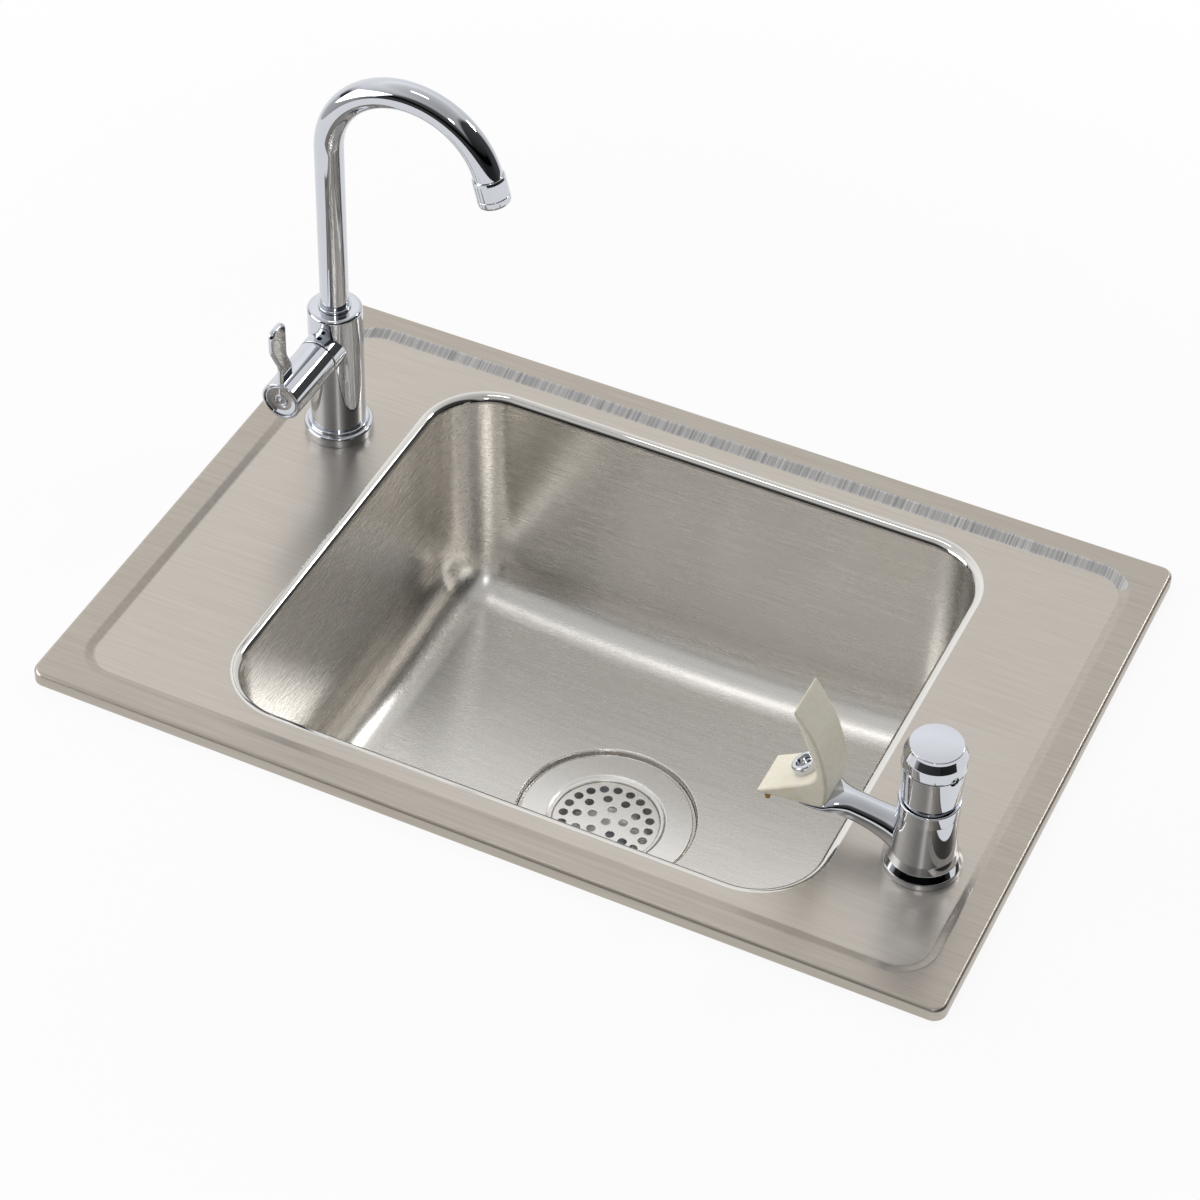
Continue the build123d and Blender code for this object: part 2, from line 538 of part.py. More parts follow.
jet = fillet(jet.edges().group_by(Axis.Z)[-1], 1.2) + rod(JET_STEM_R, JET_LOW, 0)
jet -= rod(JET_BORE, 1, JET_RISE + 1) + rod(2.4, JET_LOW - 1, 2)
save("bubbler_jet", bub * jet_at * jet)

# Push cap, spindle, spring and self-closing cartridge
skirt_r = CAP_LOW_R - CAP_WALL
cap_edges = [
    Polyline((0, 0, CAP_TOP_Z), (0, 0, CAP_CEIL), (skirt_r, 0, CAP_CEIL), (skirt_r, 0, CAP_LOW_Z)),
    Polyline((skirt_r, 0, CAP_LOW_Z), (CAP_LOW_R, 0, CAP_LOW_Z), (CAP_HIGH_R, 0, CAP_HIGH_Z)),
    ThreePointArc(
        (CAP_HIGH_R, 0, CAP_HIGH_Z),
        (CAP_HIGH_R - 0.7, 0, CAP_HIGH_Z + 0.6 * (CAP_TOP_Z - CAP_HIGH_Z)),
        (CAP_DISC_R, 0, CAP_TOP_Z),
    ),
    Line((CAP_DISC_R, 0, CAP_TOP_Z), (0, 0, CAP_TOP_Z)),
]
push = revolve(make_face(cap_edges), Axis.Z, 360)
pin_top = CAP_TOP_Z - 7
push -= rod(PIN_R + RUN, CAP_CEIL - 1, pin_top)
key_at = Pos(0, 0, CAP_HIGH_Z) * Rot(0, 0, KEY_TURN) * Rot(0, 90, 0)
push -= key_at * rod(SCREW_R + RUN, PIN_R, CAP_HIGH_R + 5)
save("push_cap", bub * push)
key_end = CAP_HIGH_R - 1.4
key = rod(SCREW_R, PIN_R + 0.1, key_end)
key -= Pos(0, 0, key_end - 2.5) * extrude(RegularPolygon(1.2, 6), 4)
save("cap_set_screw", bub * key_at * key)
spring_low, bush_low = BUB_TOP - 6, 34.0
save("bubbler_spindle", bub * rod(PIN_R, bush_low + 12, pin_top - 0.2))
save("bubbler_spring", bub * ring(PIN_R + 3.2, PIN_R + 1.4, spring_low + 0.2, CAP_CEIL - 0.2))
bush = rod(BUSH_R, bush_low, spring_low) - rod(PIN_R + RUN, bush_low + 12 - CAP_TRAVEL - 1, BUB_TOP)
save("bubbler_cartridge", bub * bush)
save("guard_pin", bub * peg_at * rod(PEG_R, PEG_LOW, PEG_TOP))
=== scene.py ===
import json
from math import atan2, ceil, cos, hypot, pi, radians, sin, sqrt, tan

import bmesh
import bpy
from mathutils import Matrix, Vector


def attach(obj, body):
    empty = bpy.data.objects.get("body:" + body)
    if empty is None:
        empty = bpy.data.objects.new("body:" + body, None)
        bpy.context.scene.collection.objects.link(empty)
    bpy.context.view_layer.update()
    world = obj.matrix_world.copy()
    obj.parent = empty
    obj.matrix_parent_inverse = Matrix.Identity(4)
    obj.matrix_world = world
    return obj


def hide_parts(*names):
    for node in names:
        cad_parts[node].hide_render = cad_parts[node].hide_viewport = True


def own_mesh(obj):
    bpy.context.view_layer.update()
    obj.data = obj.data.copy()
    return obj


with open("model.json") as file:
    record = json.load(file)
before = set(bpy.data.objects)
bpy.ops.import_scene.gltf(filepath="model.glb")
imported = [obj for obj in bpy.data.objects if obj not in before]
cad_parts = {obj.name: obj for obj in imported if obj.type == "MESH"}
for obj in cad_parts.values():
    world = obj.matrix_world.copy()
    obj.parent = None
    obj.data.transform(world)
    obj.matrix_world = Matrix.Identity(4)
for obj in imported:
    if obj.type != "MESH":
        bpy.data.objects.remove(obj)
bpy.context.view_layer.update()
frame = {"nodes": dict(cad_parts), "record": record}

nodes = frame["nodes"]
MM = 0.001


# Node helpers
def hex_rgb(code, share=1.0):
    """A hex colour as linear red, green, blue and alpha, darkened to a share of itself."""
    out = []
    for i in (0, 2, 4):
        c = int(code[i:i + 2], 16) / 255
        out.append(share * (c / 12.92 if c <= 0.04045 else ((c + 0.055) / 1.055) ** 2.4))
    return (*out, 1.0)


def add(tree, kind, stops=(), **sockets):
    """Adds a node. Lower-case names are its properties, the others its sockets, and I0, I1 its sockets
    by number. A pair of a node and an output is a link, anything else a value. Stops are the places
    and the colours, or grey levels, of a colour ramp."""
    node = tree.nodes.new(kind)
    for name, value in sockets.items():
        if name[0].islower():
            setattr(node, name, value)
            continue
        key = int(name[1:]) if name[0] == "I" and name[1:].isdigit() else name.replace("_", " ")
        socket = node.inputs[key]
        if isinstance(value, tuple) and len(value) == 2 and hasattr(value[0], "outputs"):
            tree.links.new(value[0].outputs[value[1]], socket)
        else:
            socket.default_value = value
    if stops:
        elements = node.color_ramp.elements
        while len(elements) < len(stops):
            elements.new(0.5)
        for element, (place, colour) in zip(elements, stops):
            element.position = place
            element.color = colour if isinstance(colour, tuple) else (colour, colour, colour, 1)
    return node


def surface(name):
    """An empty node material and its tree."""
    mat = bpy.data.materials.new(name)
    mat.use_nodes = True
    mat.node_tree.nodes.clear()
    return mat, mat.node_tree


def grain(tree, size, detail=3.0, rough=0.6):
    """Noise whose patches have the given sizes in millimetres along X, Y and Z; a long size makes strokes."""
    at = add(tree, "ShaderNodeTexCoord")
    per_metre = tuple(1 / (MM * length) for length in size)
    spread = add(tree, "ShaderNodeMapping", Vector=(at, "Object"), Scale=per_metre)
    return add(tree, "ShaderNodeTexNoise", Vector=(spread, 0), Scale=1.0, Detail=detail, Roughness=rough)


# Handling marks in the steel: bands along the length of the sheet, and clouds
BAND_MARKS, CLOUD_MARKS = (333.3, 45.45, 45.45), (142.9, 142.9, 142.9)
BAND_SHARE, CLOUD_SHARE = 0.15, 0.25
# Bump heights in metres at full strength; the strengths below bring them down to a few microns
BRUSH_DEPTH, SWELL_DEPTH, SKIN_DEPTH = 0.0004, 0.0005, 0.0002


def brushed(name, dark, light, rough, lines, stretch, aniso=0.6, bump=0.006, second=None):
    """Satin steel: brush lines, wider tonal bands and a highlight stretched across the lines. The second
    set of lines is for faces that look along X."""
    mat, t = surface(name)
    fine = grain(t, lines, 2.0, 0.7)
    if second:
        other = grain(t, second, 2.0, 0.7)
        geo = add(t, "ShaderNodeNewGeometry")
        part = add(t, "ShaderNodeSeparateXYZ", Vector=(geo, "Normal"))
        side = add(t, "ShaderNodeMath", operation="ABSOLUTE", I0=(part, "X"))
        pick = add(t, "ShaderNodeMapRange", Value=(side, 0), From_Min=0.35, From_Max=0.75)
        fine = add(t, "ShaderNodeMix", Factor=(pick, 0), I2=(fine, 0), I3=(other, 0))
    wide = grain(t, BAND_MARKS, 2.0, 0.5)
    cloud = grain(t, CLOUD_MARKS, 3.0, 0.5)
    both = add(t, "ShaderNodeMath", operation="MULTIPLY_ADD", I0=(wide, 0), I1=BAND_SHARE, I2=(fine, 0))
    colour = add(t, "ShaderNodeValToRGB", Fac=(both, 0), stops=[(0.35, hex_rgb(dark)), (0.8, hex_rgb(light))])
    level = add(t, "ShaderNodeMath", operation="MULTIPLY_ADD", I0=(cloud, 0), I1=CLOUD_SHARE, I2=(fine, 0))
    gloss = add(t, "ShaderNodeMapRange", Value=(level, 0), From_Min=0.35, From_Max=0.95,
                To_Min=rough - 0.015, To_Max=rough + 0.02)
    across = add(t, "ShaderNodeCombineXYZ", X=stretch[0], Y=stretch[1], Z=stretch[2])
    dent = add(t, "ShaderNodeBump", Strength=bump, Distance=BRUSH_DEPTH, Height=(fine, 0))
    metal = add(t, "ShaderNodeBsdfPrincipled", Base_Color=(colour, 0), Roughness=(gloss, 0), Metallic=1.0,
                Anisotropic=aniso, Tangent=(across, 0), Normal=(dent, 0))
    add(t, "ShaderNodeOutputMaterial", Surface=(metal, 0))
    return mat


def bright(name, colour, rough=0.05, wave=0.02):
    """Polished metal: a slight swell in the surface and faint handling haze."""
    mat, t = surface(name)
    haze = grain(t, (16.67, 16.67, 16.67), 4.0, 0.6)
    swell = grain(t, (11.11, 11.11, 11.11), 1.0, 0.4)
    gloss = add(t, "ShaderNodeMapRange", Value=(haze, 0), From_Min=0.4, From_Max=0.8,
                To_Min=rough, To_Max=rough + 0.05)
    tones = [(0.3, hex_rgb(colour)), (0.8, hex_rgb(colour, 0.97))]
    tone = add(t, "ShaderNodeValToRGB", Fac=(haze, 0), stops=tones)
    dent = add(t, "ShaderNodeBump", Strength=wave, Distance=SWELL_DEPTH, Height=(swell, 0))
    metal = add(t, "ShaderNodeBsdfPrincipled", Base_Color=(tone, 0), Roughness=(gloss, 0), Metallic=1.0,
                Normal=(dent, 0))
    add(t, "ShaderNodeOutputMaterial", Surface=(metal, 0))
    return mat


def matt(name, dark, light, rough, size=2.5, bump=0.15, glow=0.0):
    """Rubber, fibre or moulded plastic with a fine mottled skin; glow is light that soaks in."""
    mat, t = surface(name)
    skin = grain(t, (size, size, size), 4.0, 0.6)
    patch = grain(t, (33.33, 33.33, 33.33), 2.0, 0.5)
    both = add(t, "ShaderNodeMath", operation="MULTIPLY_ADD", I0=(patch, 0), I1=0.6, I2=(skin, 0))
    colour = add(t, "ShaderNodeValToRGB", Fac=(both, 0), stops=[(0.5, hex_rgb(dark)), (1.0, hex_rgb(light))])
    gloss = add(t, "ShaderNodeMapRange", Value=(skin, 0), From_Min=0.3, From_Max=0.7,
                To_Min=rough - 0.05, To_Max=rough + 0.05)
    dent = add(t, "ShaderNodeBump", Strength=bump, Distance=SKIN_DEPTH, Height=(skin, 0))
    body = add(t, "ShaderNodeBsdfPrincipled", Base_Color=(colour, 0), Roughness=(gloss, 0), Normal=(dent, 0),
               Subsurface_Weight=glow, Subsurface_Radius=(0.004, 0.003, 0.002))
    add(t, "ShaderNodeOutputMaterial", Surface=(body, 0))
    return mat


# Finishes. Real brush lines are about 0.2 mm wide and would only shimmer at this distance, so they
# are drawn coarser, LINE mm wide and RUN mm long. The mottle of the small parts is coarser too.
LINE, RUN = 2.381, 71.43
ALONG = (RUN, LINE, LINE)
# Deck: warm grey with a broad soft sheen, faint lines along its length
deck_steel = brushed("satin_steel_deck", "BFB8AF", "C9C3BB", 0.35, ALONG, (0, 1, 0))
# Rim: the same steel and lines as the deck, with painted shade that makes them darker, which sets the border
# off from the deck
rim_steel_painted_shade = brushed("satin_steel_rim_painted_shade", "AFA79D", "BCB5AC", 0.35, ALONG, (0, 1, 0))
# Back step: ground across its length, with painted glints: its colour swings between dark and bright in short
# cool bars, so it flickers as if catching the light
step_steel_painted_glints = brushed("cross_ground_steel_painted_glints", "8D8D8E", "D0CECC", 0.30, (LINE / 1.6, RUN, RUN), (1, 0, 0), 0.3)
# Bowl: the deck's steel painted paler, a painted light that lifts the walls and floor, and glossier, so that
# walls and floor mirror each other in soft streaks
bowl_steel_painted_light = brushed("satin_steel_bowl_painted_light", "DCD9D4", "E6E3DF", 0.27, ALONG, (0, 0.35, 1), bump=0.0012,
                     second=(LINE, RUN, LINE))
# Rolled mouth: polished, a crisp light and dark line round the bowl
bright_steel = bright("polished_steel_edge", "DAD8D4", 0.04, 0.005)
# Chrome: cool and mirror-like, with a swell that keeps long reflections from looking ruled
chrome = bright("polished_chrome", "CDD0D6", 0.02, 0.01)
# Drain: even pale satin without a direction, so it stands out of the brushed floor
drain_steel = brushed("satin_drain_steel", "EEECE8", "F4F2EF", 0.28, (4.167,) * 3, (0, 1, 0), 0.0, 0.002)
# Clips, channels, screws and spring: dull blue-grey plating
zinc = brushed("zinc_plated_steel", "A9ACAE", "C4C6C4", 0.36, (2.0,) * 3, (0, 1, 0), 0.0, 0.02)
# Shanks and locknuts: yellow metal with turning rings round the vertical axis
brass = brushed("machined_brass", "A9844A", "C9A566", 0.3, (3.333, 3.333, 0.6667), (0, 0, 1), 0.2, 0.05)
# Seals and gaskets: near black and without shine
rubber = matt("black_rubber", "0E0E0E", "1C1C1C", 0.7)
# Slip washers: dry brown board
fibre = matt("brown_fibre", "7A5A3C", "9A7650", 0.85)
# Mouth guard: warm ivory whose thin edges let light through
ivory = matt("ivory_vinyl", "EDE5CE", "F8F3E4", 0.42, 4.0, 0.08, 0.15)
# Cartridges and aerator insert: dark grey, slightly waxy
plastic = matt("grey_acetal", "3A3C3E", "505254", 0.5)
# Grub screw: a small black dot in the chrome
black_oxide = brushed("black_oxide_steel", "17181A", "2A2C2E", 0.45, (2.0,) * 3, (0, 1, 0), 0.0, 0.02)
# Damping pads: thick, dull, sprayed coat with a coarse skin
pad_grey = matt("damping_mastic", "3C3E40", "55585A", 0.8, 5.0, 0.5)

by_slot = {
    "stainless": deck_steel, "chromed": chrome, "drain_steel": drain_steel, "black_rubber": rubber,
    "zinc_steel": zinc, "brass_raw": brass, "ivory_guard": ivory, "fibre": fibre, "grey_plastic": plastic,
    "damping_pad": pad_grey,
}
slots = {s["node"]: s["material_slot"] for s in frame["record"]["subparts"]}
for name, node in nodes.items():
    node.data.materials.clear()
    node.data.materials.append(black_oxide if name == "tap_set_screw" else by_slot[slots[name]])


# Shape helpers, in millimetres
class Skin:
    """Points in millimetres, the faces over them, and which finish each face takes."""

    def __init__(self, place=None):
        self.points, self.faces, self.finish = [], [], []
        self.place = place or Matrix()

    def loop(self, points):
        """Adds points and returns their numbers."""
        start = len(self.points)
        self.points += [self.place @ Vector(p) for p in points]
        return list(range(start, len(self.points)))

    def face(self, corners, finish=0):
        """Adds one face."""
        self.faces.append(tuple(corners))
        self.finish.append(finish)

    def band(self, a, b, finish=0):
        """Joins two loops of the same length all the way round."""
        for i in range(len(a)):
            j = (i + 1) % len(a)
            self.face((a[i], a[j], b[j], b[i]), finish)

    def turned(self, profile, sides=96, closed=False, finish=0):
        """Spins (radius, height) points about the local Z axis. An open profile is capped at its ends."""
        turns = [2 * pi * i / sides for i in range(sides)]
        rings = [self.loop([(r * cos(a), r * sin(a), z) for a in turns]) for r, z in profile]
        for a, b in zip(rings, rings[1:] + (rings[:1] if closed else [])):
            self.band(a, b, finish)
        if not closed:
            self.face(rings[0], finish)
            self.face(rings[-1], finish)
        return self

    def mesh(self, name):
        """The skin as a mesh in metres."""
        me = bpy.data.meshes.new(name)
        me.from_pydata([[c * MM for c in p] for p in self.points], [], self.faces)
        me.polygons.foreach_set("material_index", self.finish)
        return me


def shade(me, sharp):
    """Smooth faces with crisp edges where they meet at more than the sharp angle, in degrees."""
    me.polygons.foreach_set("use_smooth", [True] * len(me.polygons))
    me.set_sharp_from_angle(angle=radians(sharp))


def tidy_mesh(me, sharp, merge=0.02 * MM):
    """Welds doubled points, turns the faces outward and shades the mesh."""
    bm = bmesh.new()
    bm.from_mesh(me)
    bmesh.ops.remove_doubles(bm, verts=bm.verts, dist=merge)
    bmesh.ops.recalc_face_normals(bm, faces=bm.faces)
    bm.to_mesh(me)
    bm.free()
    shade(me, sharp)


def evaluated(ob):
    """The object's mesh with its modifiers worked in, and no modifiers left."""
    deps = bpy.context.evaluated_depsgraph_get()
    done = ob.evaluated_get(deps)
    me = bpy.data.meshes.new_from_object(done, preserve_all_data_layers=True, depsgraph=deps)
    ob.modifiers.clear()
    ob.data = me
    return me


def place_object(name, me):
    """A mesh as an object in the scene, at the origin."""
    ob = bpy.data.objects.new(name, me)
    bpy.context.scene.collection.objects.link(ob)
    return ob


def merged(name, *skins, holes=()):
    """One closed mesh from overlapping closed ones, with bores taken out of it."""
    first, *rest = [place_object(name + "_part", s.mesh(name)) for s in (*skins, *holes)]
    for ob in (first, *rest):
        tidy_mesh(ob.data, 30)
    for i, other in enumerate(rest):
        work = first.modifiers.new("work", "BOOLEAN")
        work.operation = "UNION" if i < len(skins) - 1 else "DIFFERENCE"
        work.solver, work.object = "EXACT", other
    me = evaluated(first)
    for ob in (first, *rest):
        bpy.data.objects.remove(ob)
    return me


def piece(name, shape, finishes, body, stands_for, sharp=32.0, bevel=None, normals=None):
    """A finished object: smooth shading with crisp edges, riding on its body in place of CAD nodes."""
    me = shape.mesh(name) if isinstance(shape, Skin) else shape
    ob = place_object(name, me)
    me.name = name
    which = [face.material_index for face in me.polygons]
    me.materials.clear()
    for m in finishes:
        me.materials.append(m)
    me.polygons.foreach_set("material_index", which)
    if normals is None:
        tidy_mesh(me, sharp)
        if bevel:
            soft = ob.modifiers.new("soft_edges", "BEVEL")
            soft.width, soft.segments, soft.limit_method = bevel[0] * MM, bevel[1], "ANGLE"
            soft.angle_limit = radians(40)
            soft.use_clamp_overlap = True
            shade(evaluated(ob), sharp)
        even = ob.modifiers.new("even_shading", "WEIGHTED_NORMAL")
        even.keep_sharp = True
        evaluated(ob)
    else:
        me.polygons.foreach_set("use_smooth", [True] * len(me.polygons))
        me.normals_split_custom_set_from_vertices(normals)
    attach(ob, body)
    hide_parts(*stands_for)
    return ob


def rounded(corners, steps=6, closed=True):
    """Corners (x, y, radius) joined by straight lines, each corner turned by an arc of its radius."""
    out = []
    n = len(corners)
    for i, (x, y, r) in enumerate(corners):
        if r == 0 or (not closed and i in (0, n - 1)):
            out.append((x, y))
            continue
        p = Vector((x, y))
        a = (Vector(corners[i - 1][:2]) - p).normalized()
        b = (Vector(corners[(i + 1) % n][:2]) - p).normalized()
        half = a.angle(b) / 2
        centre = p + (a + b).normalized() * (r / sin(half))
        u = p + a * (r / tan(half)) - centre
        v = p + b * (r / tan(half)) - centre
        swing = atan2(u.x * v.y - u.y * v.x, u.dot(v))
        for k in range(steps + 1):
            w = Matrix.Rotation(swing * k / steps, 2) @ u
            out.append((centre.x + w.x, centre.y + w.y))
    return out


def swept(skin, radius, path, sides=64):
    """A round bar along (point, direction) stations in the XZ plane, capped at both ends."""
    rings = []
    for (x, y, z), (dx, dz) in path:
        ring = []
        for i in range(sides):
            a = 2 * pi * i / sides
            across = radius * cos(a)
            ring.append((x + dz * across, y + radius * sin(a), z - dx * across))
        rings.append(skin.loop(ring))
    for a, b in zip(rings, rings[1:]):
        skin.band(a, b)
    skin.face(rings[0])
    skin.face(rings[-1])
    return skin


def closed_edges(bm, verts):
    """The edges round a closed loop of vertices, made where they are missing."""
    pairs = [(verts[i - 1], verts[i]) for i in range(len(verts))]
    return [bm.edges.get(pair) or bm.edges.new(pair) for pair in pairs]


def fill_between(bm, edges, way):
    """Flat faces inside the outer loop of edges and outside the inner ones."""
    bmesh.ops.triangle_fill(bm, use_beauty=True, use_dissolve=False, edges=edges, normal=way)


def axis_at(x, y, z, direction, across=(0, 1, 0)):
    """A place whose Z points along direction."""
    w = Vector(direction).normalized()
    u = Vector(across)
    u = (u - w * u.dot(w)).normalized()
    return Matrix.Translation((x, y, z)) @ Matrix((u, w.cross(u), w)).transposed().to_4x4()


# Sizes, in millimetres
OUT_X, OUT_Y, RIM_H, SHEET = 635.0, 431.8, 9.5, 1.2
CORNER_R, RIM_BEND_R = 9.0, 3.0
BAND_X, BAND_Y = 19.5, 17.5
STEP_DROP, STEP_RUN_X, STEP_RUN_Y = 2.5, 5.25, 7.2
STEP_OUT_R, STEP_IN_R, STEP_CY = 27.0, 21.0, -0.8
DECK_Z = RIM_H - STEP_DROP
BOWL_X, BOWL_Y, BOWL_CY = 406.4, 342.9, -1.7
COVE_R, BOWL_R, ROLL_R, ROLL_LAND, DRAFT = 36.0, 44.0, 6.5, 0.2, radians(1.6)
DISH_R, FLOOR_Z, SEAT_R, SEAT_Z, DRAIN_HOLE_R = 1790.0, -180.5, 63.6, -186.2, 45.0
TAP_X, TAP_Y = 60.5 - OUT_X / 2, OUT_Y / 2 - 124.9
BUB_X, BUB_Y = OUT_X / 2 - 57.2, 110.5 - OUT_Y / 2
HOLE_R = 17.5
SIGNS = ((1, 1), (-1, 1), (-1, -1), (1, -1))


# Bowl: columns of points stand round it, more of them along the long sides than the short ones
CORNER_STEPS, SIDE_STEPS = 28, (32, 26)
ROLL_STEPS, WALL_STEPS, COVE_STEPS, FLOOR_STEPS, SEAT_EDGE_STEPS, SEAT_FOOT_STEPS = 14, 10, 18, 16, 5, 4
SEAT_EDGE_R, SEAT_FOOT_R = 1.5, 1.0
# The round seat's points are turned by this much, so that the floor's rows run straight out to the walls
SEAT_TURN = 0.36


def bowl_stations():
    """Around the bowl: a point on its inner skeleton and the direction outward from it."""
    hx, hy = BOWL_X / 2 - BOWL_R, BOWL_Y / 2 - BOWL_R
    out = []
    for quarter, (sx, sy) in enumerate(SIGNS):
        for k in range(CORNER_STEPS):
            a = pi / 2 * (quarter + k / CORNER_STEPS)
            out.append(((sx * hx, sy * hy + BOWL_CY), (cos(a), sin(a))))
        a = pi / 2 * (quarter + 1)
        ex, ey = SIGNS[(quarter + 1) % 4]
        steps = SIDE_STEPS[quarter % 2]
        for k in range(steps):
            f = k / steps
            x = hx * (sx + (ex - sx) * f)
            y = hy * (sy + (ey - sy) * f) + BOWL_CY
            out.append(((x, y), (cos(a), sin(a))))
    return out


stations = bowl_stations()


def beside(station, d, z):
    """The point d outside the bowl's mouth line at height z."""
    (bx, by), (nx, ny) = station
    return Vector((bx + nx * (BOWL_R + d), by + ny * (BOWL_R + d), z))


dish_z = FLOOR_Z + sqrt(DISH_R**2 - SEAT_R**2)
dish_centre = Vector((0, BOWL_CY, dish_z))


def cove_centre(station):
    """Where a ball of the cove's radius touches both the drafted wall and the dish, closed in on."""
    z = FLOOR_Z + COVE_R
    for _ in range(6):
        d = (-COVE_R + (z - DECK_Z) * sin(DRAFT)) / cos(DRAFT)
        p = beside(station, d, z)
        z = dish_z - sqrt((DISH_R - COVE_R) ** 2 - p.x**2 - (p.y - BOWL_CY) ** 2)
    return beside(station, d, z)


def bowl_column(i, station):
    """Points of the wetted face from the deck to the drain hole, each with its way into the steel."""
    n = Vector((*station[1], 0))
    up = Vector((0, 0, 1))
    roll_d = ROLL_R * (1 - sin(DRAFT)) / cos(DRAFT)
    column = [(beside(station, ROLL_R + ROLL_LAND, DECK_Z), -up)]
    for k in range(ROLL_STEPS + 1):
        a = pi / 2 + (pi / 2 - DRAFT) * k / ROLL_STEPS
        column.append((beside(station, roll_d + ROLL_R * cos(a), DECK_Z - ROLL_R + ROLL_R * sin(a)),
                       -(n * cos(a) + up * sin(a))))
    wall_way = n * cos(DRAFT) - up * sin(DRAFT)
    centre = cove_centre(station)
    foot = centre + wall_way * COVE_R
    top = column[-1][0]
    for k in range(1, WALL_STEPS):
        column.append((top.lerp(foot, k / WALL_STEPS), wall_way))
    floor_way = (centre - dish_centre).normalized()
    swing = wall_way.angle(floor_way)
    for k in range(COVE_STEPS + 1):
        f = k / COVE_STEPS
        way = (wall_way * sin(swing * (1 - f)) + floor_way * sin(swing * f)) / sin(swing)
        column.append((centre + way * COVE_R, way))
    rim = column[-1][0]
    a = 2 * pi * i / len(stations) - SEAT_TURN
    edge_r = SEAT_R + SEAT_EDGE_R
    goal = Vector((edge_r * cos(a), edge_r * sin(a) + BOWL_CY))
    for k in range(1, FLOOR_STEPS + 1):
        f = k / FLOOR_STEPS
        x, y = rim.x + (goal.x - rim.x) * f, rim.y + (goal.y - rim.y) * f
        z = dish_z - sqrt(DISH_R**2 - x**2 - (y - BOWL_CY) ** 2)
        column.append((Vector((x, y, z)), (Vector((x, y, z)) - dish_centre).normalized()))
    out = Vector((cos(a), sin(a), 0))
    z = column[-1][0].z
    hub = Vector((0, BOWL_CY, 0))
    for k in range(1, SEAT_EDGE_STEPS + 1):
        t = pi / 2 * k / SEAT_EDGE_STEPS
        r = edge_r - SEAT_EDGE_R * sin(t)
        drop = SEAT_EDGE_R * (1 - cos(t))
        column.append((hub + out * r + up * (z - drop), out * sin(t) - up * cos(t)))
    for k in range(SEAT_FOOT_STEPS + 1):
        t = pi / 2 * k / SEAT_FOOT_STEPS
        r = SEAT_R - SEAT_FOOT_R * (1 - cos(t))
        rise = SEAT_FOOT_R * (1 - sin(t))
        column.append((hub + out * r + up * (SEAT_Z + rise), out * cos(t) - up * sin(t)))
    column.append((hub + out * DRAIN_HOLE_R + up * SEAT_Z, -up))
    return column


def bowl():
    """The bowl's wetted face and its back, with true normals and a polished mouth."""
    columns = [bowl_column(i, s) for i, s in enumerate(stations)]
    skin, normals = Skin(), []
    rows = len(columns[0])
    inner = []
    for r in range(rows):
        inner.append(skin.loop([c[r][0] for c in columns]))
        normals += [-c[r][1] for c in columns]
    outer = []
    for r in range(rows):
        outer.append(skin.loop([c[r][0] + c[r][1] * SHEET for c in columns]))
        normals += [c[r][1] for c in columns]
    for r in range(rows - 1):
        polished = 1 if 1 <= r < ROLL_STEPS - 1 else 0
        skin.band(inner[r], inner[r + 1], polished)
        skin.band(outer[r + 1], outer[r], 0)
    for edge_a, edge_b in ((outer[0], inner[0]), (inner[-1], outer[-1])):
        a = skin.loop([skin.points[i] for i in edge_a])
        b = skin.loop([skin.points[i] for i in edge_b])
        way = [(skin.points[i] - Vector((0, BOWL_CY, 0))).to_3d() for i in edge_a]
        side = 1 if edge_a is outer[0] else -1
        flat = [Vector((w.x, w.y, 0)).normalized() * side for w in way]
        normals += flat + flat
        skin.band(a, b, 0)
    # The bowl wears the paler steel with painted light, and the polished steel in its mouth
    piece("bowl_pressing", skin, [bowl_steel_painted_light, bright_steel], "sink", ["sink_bowl"],
          normals=normals)


bowl()


# Deck
SKIRT_ROWS = (0, 2.2, 4.4)
BEND_STEPS, STEP_SOFT, STEP_SOFT_STEPS = 8, 0.17, 6
# How far in from the back edge the cross-ground finish with its painted glints reaches, and the reach round a
# fixture hole
CROSS_GROUND_GLINT_REACH, HOLE_REACH = 35.0, 19.0
FIXTURES = ((TAP_X, TAP_Y), (BUB_X, BUB_Y))


def plate_loop(w, d, r, z, cy=0.0, turns=12):
    """Points round a rectangle with rounded corners."""
    pts = []
    for quarter, (sx, sy) in enumerate(SIGNS):
        for k in range(turns + 1):
            a = pi / 2 * (quarter + k / turns)
            pts.append((sx * (w / 2 - r) + r * cos(a), sy * (d / 2 - r) + cy + r * sin(a), z))
    return pts


def eased(t, w):
    """Falls from one to nothing over t from 0 to 1, with both ends rounded over w."""
    if t <= -w:
        return 1.0
    if t < w:
        return 1 - (t + w) ** 2 / (4 * w)
    if t <= 1 - w:
        return 1 - t
    if t < 1 + w:
        return (1 + w - t) ** 2 / (4 * w)
    return 0.0


